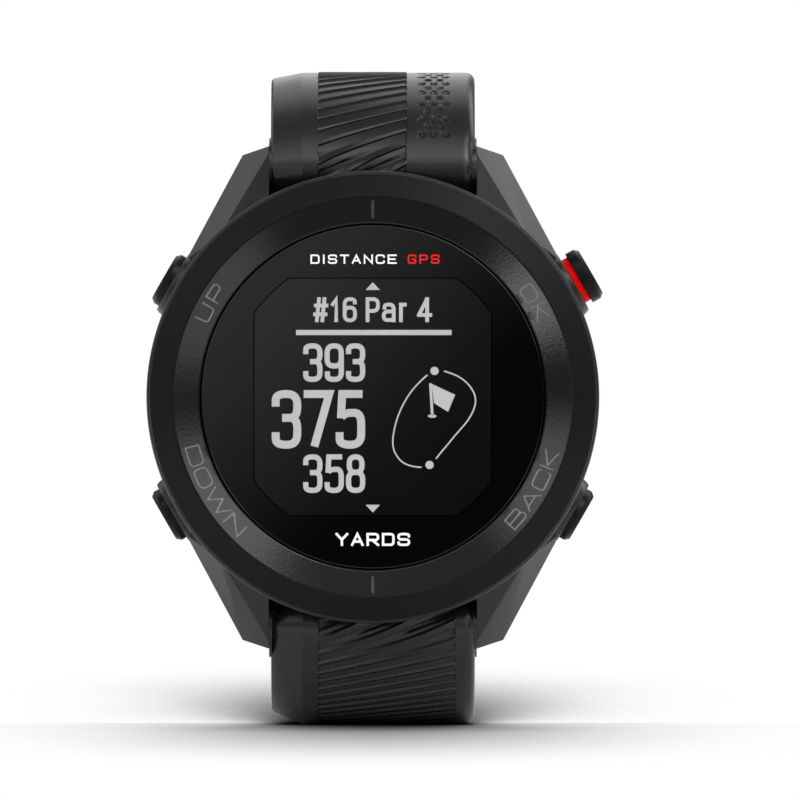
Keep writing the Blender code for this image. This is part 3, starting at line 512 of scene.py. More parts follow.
LOOK = {
    "case": surface("case_polymer", (0.0056, 0.0057, 0.0060), 0.32, specular=0.34, grain=5200, depth=0.03,
                    edge=0.09 * MM),
    "bezel": surface("bezel_polymer", (0.0024, 0.0025, 0.0027), 0.4, specular=0.13, grain=4200, depth=0.012),
    "ring": surface("bezel_ring_satin", (0.0040, 0.0041, 0.0044), 0.13, specular=0.34, grain=4200,
                    depth=0.006),
    "legend": surface("engraved_legend", (0.19, 0.19, 0.192), 0.45, specular=0.5, grain=7000, depth=0.002),
    "tick": surface("engraved_tick", (0.030, 0.030, 0.031), 0.45, specular=0.4, grain=7000, depth=0.002),
    "lens": surface("lens_glass", (0.0005, 0.0005, 0.0006), 0.02, specular=0.5, grain=300, depth=0.0),
    "window": surface("display_window", (0.0024, 0.0024, 0.0025), 0.03, specular=0.62, grain=300, depth=0.0),
    "window_edge": surface("window_edge", (0.0002, 0.0002, 0.0002), 0.9, specular=0.0, grain=900, depth=0.0),
    "silicone": surface("strap_silicone", (0.0066, 0.0067, 0.0070), 0.29, specular=0.37, grain=3600,
                        depth=0.0025, spread=0.08),
    "button": surface("button_metal", (0.0020, 0.0020, 0.0022), 0.36, specular=0.13, grain=5000, depth=0.003),
    "red": surface("accent_red", (0.80, 0.002, 0.002), 0.45, specular=0.05, grain=900, depth=0.0),
    "seal": surface("seal_rubber", (0.02, 0.02, 0.02), 0.7, grain=3000),
    "buckle": surface("buckle_steel", (0.05, 0.05, 0.052), 0.34, metallic=0.9, grain=2500, depth=0.003,
                      stretch=(1, 8, 8), edge=0.08 * MM),
    "steel": surface("steel", (0.56, 0.56, 0.58), 0.28, metallic=1.0, grain=2500, depth=0.002,
                     stretch=(1, 6, 6)),
    "gold": surface("contact_gold", (0.9, 0.62, 0.2), 0.25, metallic=1.0, grain=4000, depth=0.002),
    "board": surface("board_laminate", (0.02, 0.12, 0.06), 0.4, grain=2500),
    "shield": surface("shield_tin", (0.66, 0.66, 0.68), 0.35, metallic=1.0, grain=2500),
    "ceramic": surface("antenna_ceramic", (0.72, 0.68, 0.58), 0.5, grain=2500),
    "battery": surface("battery_wrap", (0.25, 0.27, 0.3), 0.4, grain=1500),
    "flex": surface("flex_film", (0.45, 0.22, 0.05), 0.4, grain=2500),
    "panel": surface("display_glass", (0.03, 0.035, 0.03), 0.15, grain=2500),
    "diffuser": surface("diffuser", (0.8, 0.8, 0.78), 0.3, grain=2500),
    "inner": surface("inner_polymer", (0.05, 0.05, 0.053), 0.55, grain=3500),
    "cover": surface("cover_polymer", (0.011, 0.0112, 0.0118), 0.42, specular=0.45, grain=5000, depth=0.008,
                     edge=0.08 * MM),
    "pixels": glow_print("display_pixels", (0.41, 0.41, 0.41)),
    "white_print": glow_print("white_print", (0.85, 0.85, 0.85)),
    "red_print": glow_print("red_print", (0.75, 0.006, 0.010)),
    "line": glow_print("display_lines", (0.42, 0.42, 0.42)),
}


# ---------------------------------------------------------------- strokes and lettering

# Each glyph's strokes, as a kind and the x,y points of its centre line on a box that is one unit each
# way. A round stroke has its corners rounded off, and a loop is closed.
GLYPHS = {
    "1": "sharp .1,.76 .62,1 .62,0",
    "3": "round 0,.83 0,1 1,1 1,.53 .48,.53; round .48,.53 1,.53 1,0 0,0 0,.17",
    "4": "sharp .72,0 .72,1; sharp .66,.96 .06,.27; sharp .06,.25 .98,.25",
    "5": "sharp .88,1 .12,1 .07,.6; round .22,.6 .3,.63 1,.63 1,0 0,0 0,.17",
    "6": "loop 0,0 1,0 1,.6 0,.6; round 0,.35 0,1 .98,1 .98,.84",
    "7": "sharp 0,1 1,1 .36,.04",
    "8": "loop .05,.54 .95,.54 .95,1 .05,1; loop 0,0 1,0 1,.54 0,.54",
    "9": "loop 0,.4 1,.4 1,1 0,1; round 1,.65 1,0 .02,0 .02,.16",
    "#": "sharp .2,0 .38,1; sharp .62,0 .8,1; sharp 0,.3 .95,.3; sharp .06,.68 1.02,.68",
    "a": "round .08,.58 .08,.74 .92,.74 .92,0; round .92,.42 0,.42 0,0 .92,.04",
    "r": "sharp .1,0 .1,.74; round .1,.4 .14,.74 .8,.74",
    "A": "sharp 0,0 .5,1 1,0; sharp .16,.3 .84,.3",
    "B": "round 0,.52 .93,.52 .93,1 0,1; round 0,0 1,0 1,.52 0,.52; sharp 0,0 0,1",
    "C": "round 1,.78 1,1 0,1 0,0 1,0 1,.22",
    "D": "round 0,1 1,1 1,0 0,0; sharp 0,0 0,1",
    "E": "sharp 1,1 0,1 0,0 1,0; sharp 0,.5 .85,.5",
    "G": "round 1,.8 1,1 0,1 0,0 1,0 1,.48 .55,.48",
    "I": "sharp .5,0 .5,1",
    "K": "sharp 0,0 0,1; sharp 1,1 .14,.5 1,0",
    "N": "sharp 0,0 0,1 1,0 1,1",
    "O": "loop 0,0 1,0 1,1 0,1",
    "P": "sharp 0,0 0,1; round 0,1 1,1 1,.44 0,.44",
    "R": "sharp 0,0 0,1; round 0,1 1,1 1,.44 0,.44; sharp .45,.44 1,0",
    "S": "round 1,.8 1,1 0,1 0,.5 1,.5 1,0 0,0 0,.2",
    "T": "sharp .5,0 .5,1; sharp 0,1 1,1",
    "U": "round 0,1 0,0 1,0 1,1",
    "W": "sharp 0,1 .25,0 .5,1 .75,0 1,1",
    "Y": "sharp 0,1 .5,.48 1,1; sharp .5,.5 .5,0",
}
# Letters wider or narrower than the rest, and letters with thinner strokes
WIDE = {"W": 1.47, "I": 0.3, "1": 0.72, "#": 1.05, "r": 0.66, "4": 1.12, "K": 0.93}
THIN = {"#": 0.5, "a": 0.86}


def ribbon(line, width, closed=False):
    """The left and right edges of a stroke of that width along a line of points."""
    count = len(line)
    left, right = [], []
    for i, point in enumerate(line):
        before = line[i - 1] if closed or i else line[i]
        after = line[(i + 1) % count] if closed or i < count - 1 else line[i]
        incoming, outgoing = (point - before).xy, (after - point).xy
        if incoming.length < 1e-9:
            incoming = outgoing
        if outgoing.length < 1e-9:
            outgoing = incoming
        incoming, outgoing = incoming.normalized(), outgoing.normalized()
        bisector = (incoming + outgoing).normalized()
        normal = Vector((-bisector.y, bisector.x))
        reach = width / 2 / max(0.45, bisector.dot(outgoing))
        left.append(point.xy + normal * reach)
        right.append(point.xy - normal * reach)
    return left, right


def glyph_strokes(text, height, width, stroke, gap, curve):
    """Every stroke of a line of text as (index within its glyph, centre line, closed), centred on 0."""
    found = []
    cursor = 0.0
    for letter in text:
        wide = width * WIDE.get(letter, 1.0)
        if letter == " ":
            cursor += width * 0.3 + gap
            continue
        stroke, full = stroke * THIN.get(letter, 1.0), stroke
        inside = wide - stroke
        for index, drawn in enumerate(GLYPHS[letter].split("; ")):
            kind, *points = drawn.split()
            line = [Vector((cursor + stroke / 2 + float(x) * inside,
                            stroke / 2 + float(y) * (height - stroke)))
                    for x, y in (point.split(",") for point in points)]
            if kind != "loop":
                line[0] += (line[0] - line[1]).normalized() * stroke / 2
                line[-1] += (line[-1] - line[-2]).normalized() * stroke / 2
            if kind != "sharp":
                line = filleted(line, curve * inside, closed=kind == "loop", steps=7)
            found.append((index, line, kind == "loop"))
        stroke = full
        cursor += wide + gap
    total = cursor - gap
    return [(index, [point - Vector((total / 2, height / 2)) for point in line], closed)
            for index, line, closed in found]


def prism(line, width, closed, place_low, place_high):
    """A stroke as a solid between two surfaces, given as functions of (x, y)."""
    left, right = ribbon(line, width, closed)
    bm = bmesh.new()
    rows = [[bm.verts.new(place(point)) for point in edge]
            for edge, place in ((left, place_low), (right, place_low), (right, place_high),
                                (left, place_high))]
    count = len(left)
    for side in range(4):
        low, high = rows[side], rows[(side + 1) % 4]
        for i in range(count if closed else count - 1):
            j = (i + 1) % count
            bm.faces.new((low[i], low[j], high[j], high[i]))
    if not closed:
        bm.faces.new([row[0] for row in rows])
        bm.faces.new([row[-1] for row in reversed(rows)])
    return finished(bm)


def flat_text(line_of_text, bottom, top):
    """One row of SCREEN_TEXT or LENS_TEXT as thin raised strokes on a flat surface."""
    text, x, y, *sizes, curve = line_of_text
    height, width, gap, stroke = (size * MM for size in sizes)
    step = 0.001 * MM
    solids = []
    for index, line, closed in glyph_strokes(text, height, width, stroke, gap, curve):
        low = lambda point: (x * MM + point.x, y * MM + point.y, bottom)
        high = lambda point: (x * MM + point.x, y * MM + point.y, top + index * step)
        solids.append(prism(line, stroke, closed, low, high))
    return joined(solids)


# ---------------------------------------------------------------- case

def lug_shape(side, end):
    """One lug as the hull of its corners, in millimetres apart from the inner side's."""
    inner = STRAP_GAP / 2 - 0.5 * MM
    corners = (
        (inner, 24.45, 4.6), (inner, 19.0, 8.4), (14.6, 15.9, 8.4), (17.6, 13.9, 5.5), (12.6, 23.45, 2.4),
        (inner, 24.2, 1.6), (12.4, 23.2, 1.3), (17.0, 13.6, 1.9), (inner, 14.4, 8.4), (inner, 14.4, 1.9),
        (14.6, 12.5, 8.4), (18.05, 13.25, 5.6), (17.5, 12.9, 2.2),
    )
    return hull([(side * (x if x == inner else x * MM), end * y * MM, z * MM) for x, y, z in corners])


def collar_shape():
    """A button's collar, along local +Z from the case's axis."""
    profile = [(0, 18.2 * MM), (3.5 * MM, 18.2 * MM), (3.5 * MM, 20.9 * MM), (COLLAR_RADIUS, 22.0 * MM),
               (COLLAR_RADIUS - 0.15 * MM, COLLAR_FACE), (0, COLLAR_FACE)]
    return lathe(filleted(profile, 0.15 * MM, steps=3), 64)


def screw_boss_shape():
    boss = 1.5 * MM
    reach = CAVITY_RADIUS - SCREW_CIRCLE + 0.6 * MM
    outline = [around(angle, boss).xy for angle in range(90, 271, 15)]
    outline += [Vector((reach, -boss)), Vector((reach, boss))]
    return slab(outline, GASKET_LEDGE + 0.05 * MM, 4.5 * MM)


def build_mid_case():
    profile = [
        (RECESS_RADIUS, 0.45 * MM), (18.4 * MM, 0.45 * MM), (19.9 * MM, 1.6 * MM), (21.0 * MM, 3.6 * MM),
        (21.6 * MM, 6.2 * MM), (CASE_RADIUS, 8.2 * MM), (CASE_RADIUS, FLANGE_FRONT - 0.34 * MM),
        (CASE_RADIUS - 0.08 * MM, FLANGE_FRONT - 0.14 * MM), (CASE_RADIUS - 0.24 * MM, FLANGE_FRONT),
        (14.65 * MM, FLANGE_FRONT), (14.65 * MM, 8.1 * MM), (CAVITY_RADIUS, 8.1 * MM),
        (CAVITY_RADIUS, GASKET_LEDGE), (RECESS_RADIUS, GASKET_LEDGE),
    ]
    case = piece("mid_case_shell", lathe(profile, 192), "case", "case", ["mid_case"])
    cut(case, joined([lug_shape(side, end) for side in (1, -1) for end in (1, -1)]), "UNION")
    cut(case, on_button_axes(collar_shape()), "UNION")
    cut(case, on_circle(screw_boss_shape(), SCREW_ANGLES, SCREW_CIRCLE), "UNION")
    gap = rounded(STRAP_GAP, 10 * MM, 0.3 * MM)
    cut(case, joined([slab(gap, -1 * MM, 8.2 * MM, (0, end * 23.45 * MM)) for end in (1, -1)]))
    cut(case, joined([cross_rod(bar_place(end), 0.5 * MM, -11.3 * MM, 11.3 * MM, 24) for end in (1, -1)]))
    bore = [(0, CAVITY_RADIUS - 1 * MM), (1.1 * MM, CAVITY_RADIUS - 1 * MM), (1.1 * MM, COLLAR_RECESS),
            (HEAD_RADIUS + 0.15 * MM, COLLAR_RECESS), (HEAD_RADIUS + 0.15 * MM, COLLAR_FACE + 1 * MM),
            (0, COLLAR_FACE + 1 * MM)]
    cut(case, on_button_axes(lathe(bore, 48)))
    cut(case, on_circle(rod(0.7 * MM, 1 * MM, 4.2 * MM, 16), SCREW_ANGLES, SCREW_CIRCLE))
    crisp(case, 14)


def ring_height(radius):
    """The height of the bezel's inner ring, which slopes up to the ridge."""
    slope = (CASE_TOP - RING_INNER_HEIGHT) / (RIDGE_RADIUS - 0.1 * MM - BEZEL_HOLE - 0.1 * MM)
    return RING_INNER_HEIGHT + (radius - BEZEL_HOLE - 0.1 * MM) * slope


def on_ring(angle, outward_tops, offset):
    """A function that lays text on the ring about that angle, offset above its surface."""
    def place(point):
        if outward_tops:
            radius, turn = LEGEND_RADIUS + point.y, -point.x / LEGEND_RADIUS
        else:
            radius, turn = LEGEND_RADIUS - point.y, point.x / LEGEND_RADIUS
        spot = around(angle + math.degrees(turn), radius)
        return (spot.x, spot.y, ring_height(radius) + offset)
    return place


def legend_cutters():
    """(solids, finish) for the four legends, in groups that don't cross each other, and the two ticks."""
    def engraved(line, width, closed, angle, outward_tops=True):
        low, high = (on_ring(angle, outward_tops, offset) for offset in (-ENGRAVING, 0.4 * MM))
        return prism(line, width, closed, low, high)

    groups = {0: [], 1: [], 2: []}
    for text, angle, width, gap, outward_tops in LEGENDS:
        for index, line, closed in glyph_strokes(text, LEGEND_HEIGHT, width, LEGEND_STROKE, gap,
                                                 LEGEND_CURVE):
            groups[index].append(engraved(line, LEGEND_STROKE, closed, angle, outward_tops))
    tick = [Vector((0, y * MM)) for y in (-0.85, 0, 0.85)]
    ticks = [engraved(tick, 0.3 * MM, False, angle) for angle in (90, 270)]
    legends = [(joined(solids), "legend") for solids in groups.values() if solids]
    return legends + [(joined(ticks), "tick")]


def build_bezel():
    profile = [
        (BEZEL_HOLE, BEZEL_BACK), (21.4 * MM, BEZEL_BACK), (BEZEL_RADIUS, 9.3 * MM),
        (BEZEL_RADIUS, 10.0 * MM), (BEZEL_RADIUS - 0.07 * MM, 10.12 * MM),
        (RIDGE_RADIUS + 0.1 * MM, CASE_TOP), (RIDGE_RADIUS - 0.1 * MM, CASE_TOP),
        (BEZEL_HOLE + 0.1 * MM, RING_INNER_HEIGHT),
        (BEZEL_HOLE, RING_INNER_HEIGHT - 0.1 * MM),
    ]
    mesh = lathe(filleted(profile, 0.06 * MM, closed=True, steps=3, keep=(0,)), 256)
    bezel = piece("bezel_ring", mesh, "case", "bezel", ["bezel"])
    bezel.data.materials.append(LOOK["ring"])
    for face in bezel.data.polygons:
        centre = face.center
        on_top = -centre.y > RING_INNER_HEIGHT - 0.02 * MM
        if on_top and math.hypot(centre.x, centre.z) < RIDGE_RADIUS - 0.05 * MM:
            face.material_index = 1
    for solids, finish in legend_cutters():
        cut(bezel, solids, finish=finish)
    crisp(bezel, 25)


def build_lens():
    profile = filleted([(0, LENS_BACK), (LENS_RADIUS, LENS_BACK), (LENS_RADIUS, LENS_FRONT - 0.12 * MM),
                        (LENS_RADIUS - 0.12 * MM, LENS_FRONT), (0, LENS_FRONT)], 0.05 * MM, steps=3)
    piece("lens_disc", lathe(profile, 192), "case", "lens", ["lens"])
    sunk, proud = LENS_FRONT - 0.02 * MM, LENS_FRONT + 0.004 * MM
    wide, narrow = window_outline(0.1 * MM), window_outline()
    edge = stacked([(wide, sunk), (wide, proud), (narrow, proud), (narrow, sunk)], loop=True)
    piece("display_window_edge", edge, "case", "window_edge")
    window = slab(window_outline(-0.005 * MM), sunk, LENS_FRONT + 0.003 * MM)
    piece("display_window", window, "case", "window")


# ---------------------------------------------------------------- display graphics

def smooth_loop(points, steps=8):
    """A closed curve through the points."""
    points = [Vector(point) for point in points]
    count = len(points)
    made = []
    for i in range(count):
        a, b, c, d = (points[(i + k - 1) % count] for k in range(4))
        for step in range(steps):
            t = step / steps
            made.append(0.5 * (2 * b + (c - a) * t + (2 * a - 5 * b + 4 * c - d) * t ** 2
                               + (3 * b - a - 3 * c + d) * t ** 3))
    return made


def in_mm(points):
    return [(x * MM, y * MM) for x, y in points]


def away_from_dots(points):
    """The runs of the outline that keep clear of the dots on it, in metres."""
    runs, run = [], []
    for point in points:
        if min((point - Vector(dot)).length for dot in GREEN_DOTS) < GREEN_DOT_GAP:
            if len(run) > 1:
                runs.append(run)
            run = []
        else:
            run.append(point * MM)
    return runs + [run] if len(run) > 1 else runs


def build_graphics():
    low, high = LENS_FRONT - 0.01 * MM, LENS_FRONT + 0.012 * MM
    shapes = [flat_text(line, low, high) for line in SCREEN_TEXT]
    shapes.append(slab(rounded(15.0 * MM, 0.5 * MM, 0.02 * MM, 1), low, high, (0.1 * MM, 6.2 * MM)))
    for tip, base in ((11.05, 10.3), (-11.15, -10.4)):
        shapes.append(slab(in_mm([(0.69, base), (0, tip), (-0.69, base)]), low, high))
    shapes += [slab(in_mm(outline), low, high) for outline in (FLAG, FLAG_POLE)]
    base = [(0.42 * MM * math.cos(a), 0.17 * MM * math.sin(a)) for a in (TAU * i / 20 for i in range(20))]
    shapes.append(slab(base, low, high, (5.72 * MM, -1.85 * MM)))
    shapes += [shifted(rod(0.4 * MM, low, high, 28), (x * MM, y * MM, 0)) for x, y in GREEN_DOTS]
    piece("display_graphics", joined(shapes), "case", "pixels")

    outline = smooth_loop(GREEN)
    runs = [prism(run, 0.14 * MM, False, lambda p: (p.x, p.y, low), lambda p: (p.x, p.y, high))
            for run in away_from_dots(outline + outline[:1])]
    piece("green_outline", joined(runs), "case", "line")
    for name, finish, line in LENS_TEXT:
        piece(name, flat_text(line, low, high), "case", finish)


# ---------------------------------------------------------------- back

def ring_shape(inner, outer, low, high, segments=128):
    return lathe([(inner, low), (outer, low), (outer, high), (inner, high)], segments)


def build_back():
    disc = lathe(filleted([(0, 0), (16.6 * MM, 0), (COVER_RADIUS, 0.55 * MM), (COVER_RADIUS, COVER_THICKNESS),
                           (0, COVER_THICKNESS)], 0.15 * MM), 160)
    cover = piece("back_cover_plate", disc, "case", "cover", ["back_cover"])
    hole = lathe([(0, -1 * MM), (1.35 * MM, -1 * MM), (1.35 * MM, SCREW_SEAT), (0.72 * MM, SCREW_SEAT),
                  (0.72 * MM, 3 * MM), (0, 3 * MM)], 40)
    cut(cover, on_circle(hole, SCREW_ANGLES, SCREW_CIRCLE))
    wide, narrow = (rounded(width * MM, height * MM, 0.6 * MM) for width, height in ((12, 6.4), (9.2, 4.6)))
    step = 0.5 * MM
    cut(cover, stacked([(wide, -1 * MM), (wide, step), (narrow, step), (narrow, 3 * MM)], (0, PORT_Y)))
    cut(cover, shifted(ring_shape(9.3 * MM, 9.45 * MM, -0.3 * MM, 0.08 * MM), (0, 2.6 * MM, 0)))
    crisp(cover, 30)
    for number, angle in enumerate(SCREW_ANGLES, 1):
        head = SCREW_SEAT - 0.05 * MM
        top = head - 0.7 * MM
        profile = [(0, top), (SCREW_HEAD_RADIUS, top), (SCREW_HEAD_RADIUS, head), (0.6 * MM, head),
                   (0.6 * MM, head + 3.2 * MM), (0, head + 3.2 * MM)]
        spot = around(angle, SCREW_CIRCLE)
        turned = shifted(lathe(filleted(profile, 0.16 * MM, steps=3), 40), spot)
        screw = piece(f"back_screw_{number}_fine", turned, "case", "steel", [f"back_screw_{number}"])
        cut(screw, shifted(rod(0.5 * MM, -1 * MM, top + 0.4 * MM, 6), spot))
        crisp(screw, 30)


# ---------------------------------------------------------------- buttons

def build_buttons():
    for name, angle in BUTTON_ANGLES.items():
        is_ok = name == "ok"
        face = OK_FACE if is_ok else BUTTON_FACE
        under = face - (OK_THICKNESS if is_ok else HEAD_THICKNESS)
        profile = [(0, 16.2 * MM), (STEM_RADIUS, 16.2 * MM), (STEM_RADIUS, under), (HEAD_RADIUS, under),
                   (HEAD_RADIUS, face - 0.42 * MM), (HEAD_RADIUS - 0.36 * MM, face),
                   (HEAD_RADIUS - 0.55 * MM, face), (HEAD_RADIUS - 0.65 * MM, face - 0.08 * MM),
                   (0, face - 0.02 * MM)]
        cap = lathe(filleted(profile, 0.05 * MM, steps=3), 96)
        piece(f"{name}_button_cap", moved(cap, outward(angle)), f"{name}_push", "button",
              [f"{name}_button"])
        if is_ok:
            inner = STEM_RADIUS + 0.05 * MM
            ring = filleted([(inner, RED_RING_START), (OK_COLLAR_RADIUS, RED_RING_START),
                             (OK_COLLAR_RADIUS, under), (inner, under)], 0.06 * MM, closed=True, steps=3)
            piece("ok_red_ring", moved(lathe(ring, 96), outward(angle)), "ok_push", "red",
                  ["ok_accent_ring"])


# ---------------------------------------------------------------- strap

def strap_path(after, step):
    """Stations along the outer face, as (arc length, y, z, lean), for the 12 o'clock half.

    It starts with the wrap round the bar, where the arc length is below zero.
    """
    stations = []
    count = round(ROOT_WRAP * ROOT_RADIUS / step)
    for i in range(count + 1):
        back = ROOT_WRAP * (1 - i / count)
        lean = ROOT_LEAN - back
        stations.append((-back * ROOT_RADIUS, BAR_Y + ROOT_RADIUS * math.sin(lean),
                         BAR_HEIGHT + ROOT_RADIUS * math.cos(lean), lean))
    travelled, y, z, lean = stations[-1]
    for length, radius in ((SHOULDER_BEND * (math.pi / 2 - ROOT_LEAN), SHOULDER_BEND), *after):
        count = max(2, round(length / step))
        part = length / count
        turn = part / radius if radius else 0.0
        chord = 2 * radius * math.sin(turn / 2) if radius else part
        for _ in range(count):
            y += chord * math.cos(lean + turn / 2)
            z -= chord * math.sin(lean + turn / 2)
            lean += turn
            travelled += part
            stations.append((travelled, y, z, lean))
    return stations


def station_near(stations, travelled):
    number = bisect.bisect_right(stations, (travelled,), hi=len(stations) - 1)
    before, after = stations[max(number, 1) - 1], stations[max(number, 1)]
    share = (travelled - before[0]) / (after[0] - before[0])
    return tuple(a + (b - a) * share for a, b in zip(before, after))


def at_station(station, end, ahead=0.0, depth=0.0):
    """The place whose +Y runs along the strap and whose +Z points out of it."""
    _, y, z, lean = station
    y += ahead * math.cos(lean) - depth * math.sin(lean)
    z -= ahead * math.sin(lean) + depth * math.cos(lean)
    along = Vector((0, end * math.cos(lean), -math.sin(lean)))
    out = Vector((0, end * math.sin(lean), math.cos(lean)))
    turned = Matrix((along.cross(out), along, out)).transposed().to_4x4()
    return Matrix.Translation((0, end * y, z)) @ turned


def smoothstep(low, high, value):
    t = min(1.0, max(0.0, (value - low) / (high - low)))
    return t * t * (3 - 2 * t)


def level_of(end, s):
    """The level of an arc length. Near the bar the levels spread out, so the ridges curve up there."""
    back = SWEEP_START - s
    if back <= 0:
        return s
    near = min(back, SWEEP_LIMIT)
    return SWEEP_START - near + SWEEP[end] * near ** 2 - (back - near) * (1 - 2 * SWEEP[end] * SWEEP_LIMIT)


def swept(end, level):
    """The arc length of a level, which undoes level_of."""
    if level >= SWEEP_START:
        return level
    squeeze = SWEEP[end]
    limit = level_of(end, SWEEP_START - SWEEP_LIMIT)
    if level < limit:
        return SWEEP_START - SWEEP_LIMIT - (limit - level) / (1 - 2 * squeeze * SWEEP_LIMIT)
    return SWEEP_START - (1 - math.sqrt(1 - 4 * squeeze * (SWEEP_START - level))) / (2 * squeeze)


def rib_relief(end, x, s, t, length):
    """Height of the ribbed band over the plain face, t of the way from one slanted ridge to the next.

    A ridge rises steeply on the side towards the case and falls gently on the other. Round the bar a
    scoop opens behind each ridge.
    """
    left, right = RIB_BAND[end]
    if not left < x < right:
        return 0.0
    shown = smoothstep(length - 14 * MM, length - 17 * MM, s)
    if shown == 0.0:
        return 0.0
    wall = min(smoothstep(0, 0.12 * MM, x - left), smoothstep(0, 0.12 * MM, right - x))
    peak, foot = RIB_EDGES[end]
    ridge = t / peak if t < peak else max(0.0, 1 - (t - peak) / (foot - peak))
    near_bar = smoothstep(1.2 * MM, -2.0 * MM, s)
    hollow = near_bar * smoothstep(foot - 0.05, foot + 0.1, t) * smoothstep(foot + 0.4, foot + 0.16, t)
    return (RIB_HEIGHT[end] * ridge - HOLLOW_DEPTH[end] * hollow - RIB_FLOOR) * wall * shown


def rib_rows(end, start, length):
    """Levels for the rows of the mesh, each with how far it is between two ridges.

    Over the ribs the rows follow the ridges, and there are a few for each.
    """
    peak, foot = RIB_EDGES[end]
    shares = [0.0, 0.6 * peak, peak, peak + 0.03, 0.5 * (peak + foot), foot, foot + 0.06, foot + 0.14,
              foot + 0.23, foot + 0.34, foot + 0.45, 0.97]
    pitch = RIB_PITCH[end]
    first = level_of(end, start)
    last = length - 12 * MM
    rows = [(first, 0.0)]
    for number in range(math.floor(first / pitch), math.ceil(last / pitch)):
        rows += [((number + share) * pitch, share) for share in sorted(shares) if share <= 0.97
                 and first + 0.05 * MM < (number + share) * pitch < last]
    last = rows[-1][0]
    count = math.ceil((length - last) / (0.3 * MM))
    return rows + [(last + (length - last) * (i + 1) / count, 0.0) for i in range(count)]


def dimple_relief(x, s):
    """Round dimples pressed into the plain band beside the ribs of the upper half."""
    row_pitch = DIMPLE_PITCH * DIMPLE_ROW_PITCH
    row = round((s - DIMPLE_START) / row_pitch)
    if not 0 <= row < DIMPLE_ROWS:
        return 0.0
    shift = 0.5 * DIMPLE_PITCH * (row % 2)
    column = round((x - DIMPLE_LEFT - shift) / DIMPLE_PITCH)
    if not 0 <= column < 3 - row % 2:
        return 0.0
    away = math.hypot(x - DIMPLE_LEFT - shift - column * DIMPLE_PITCH,
                      s - DIMPLE_START - row * row_pitch)
    return -DIMPLE_DEPTH * smoothstep(DIMPLE_RADIUS, DIMPLE_RADIUS * 0.55, away)


def across_samples(end):
    """Places across the outer face, finer over the ribs and the dimples."""
    left, right = RIB_BAND[end]
    facet = FACET_WIDTH - STRAP_HALF_WIDTH
    stops = [(facet, 0.15 * MM), (facet + 0.15 * MM, 0.5 * MM), (left - 0.05 * MM, 0.04 * MM),
             (left + 0.22 * MM, 0.3 * MM), (right - 0.22 * MM, 0.04 * MM),
             (right + 0.05 * MM, 0.12 * MM if end > 0 else 0.4 * MM), (STRAP_HALF_WIDTH - 1.0 * MM, 0)]
    places = []
    for (start, step), (stop, _) in zip(stops, stops[1:]):
        count = max(1, round((stop - start) / step))
        places += [start + (stop - start) * i / count for i in range(count)]
    return places + [stops[-1][0]]


def strap_mesh(end, after, tapered_tip):
    """The body of a half, as rings that follow the slanted ridges, and its stations."""
    stations = strap_path(after, 0.2 * MM)
    start, length = stations[0][0], stations[-1][0]
    places = across_samples(end)
    left, right = RIB_BAND[end]
    middle_x = (left + right) / 2
    corner, under = 0.85 * MM, 0.5 * MM
    turns = [(math.sin(angle), math.cos(angle)) for angle in (math.pi / 2 * i / 6 for i in range(7))]
    first = level_of(end, start)
    rings = []
    for level, share in rib_rows(end, start, length):
        slanted = RIB_SLOPE[end] * smoothstep(length - 10 * MM, length - 17 * MM, level)
        slanted *= smoothstep(first, first + UNSLANTED, level)
        to_tip = length - level
        worn = 0.0
        if tapered_tip and to_tip < TIP_EDGE:
            worn = 0.7 * MM * (1 - math.sqrt(1 - (1 - to_tip / TIP_EDGE) ** 2))

        def spot(x, depth, place=None):
            """A point on the section, x across and depth below the outer face, in the slanted row."""
            over_ribs = min(right, max(left, x if place is None else place))
            s = min(length, max(start, swept(end, level + slanted * (over_ribs - middle_x))))
            if place is not None:
                depth -= rib_relief(end, place, s, share, length)
                if end > 0:
                    depth -= dimple_relief(place, s)
            depth += (ROOT_RADIUS - ROOT_CORE_RADIUS + 0.1 * MM) * smoothstep(start + 1.2 * MM, start, s)
            _, y, z, lean = station_near(stations, s)
            return (x, end * (y - depth * math.sin(lean)), z - depth * math.cos(lean))

        middle = min(length, max(start, swept(end, level)))
        ramp = min(1.0, max(0.0, middle / THINNING_LENGTH))
        thick = ROOT_THICKNESS + (STRAP_THICKNESS - ROOT_THICKNESS) * ramp
        thick = 1.2 * MM + (thick - 1.2 * MM) * smoothstep(-3 * MM, 1 * MM, middle)
        thick = max(thick, corner + under) - worn
        half = ROOT_HALF_WIDTH - 0.12 * MM * smoothstep(0.9 * MM, -0.6 * MM, middle)
        if tapered_tip and to_tip < TIP_LENGTH:
            half *= math.sqrt(max(0.03, 1 - (1 - to_tip / TIP_LENGTH) ** 2))
        scale = half / STRAP_HALF_WIDTH
        drop = FACET_DROP[end] * min(1.0, half / (5 * MM)) + worn
        ring = [spot(-half, drop + 0.35 * MM), spot(-half + 0.05 * MM, drop + 0.12 * MM),
                spot(-half + 0.22 * MM, drop - 0.04 * MM)]
        ring += [spot(-half + FACET_WIDTH * scale * part, worn + (drop - worn) * (1 - part))
                 for part in (0.25, 0.6, 0.95)]
        ring += [spot(place * scale, worn, place) for place in places]
        for sine, cosine in turns[1:]:
            ring.append(spot(half - corner + corner * sine, worn + corner * (1 - cosine)))
        for sine, cosine in turns:
            ring.append(spot(half - under + under * cosine, thick - under + under * sine))
        for sine, cosine in turns:
            ring.append(spot(-half + under - under * sine, thick - under + under * cosine))
        rings.append(ring)
    return loft(rings), stations


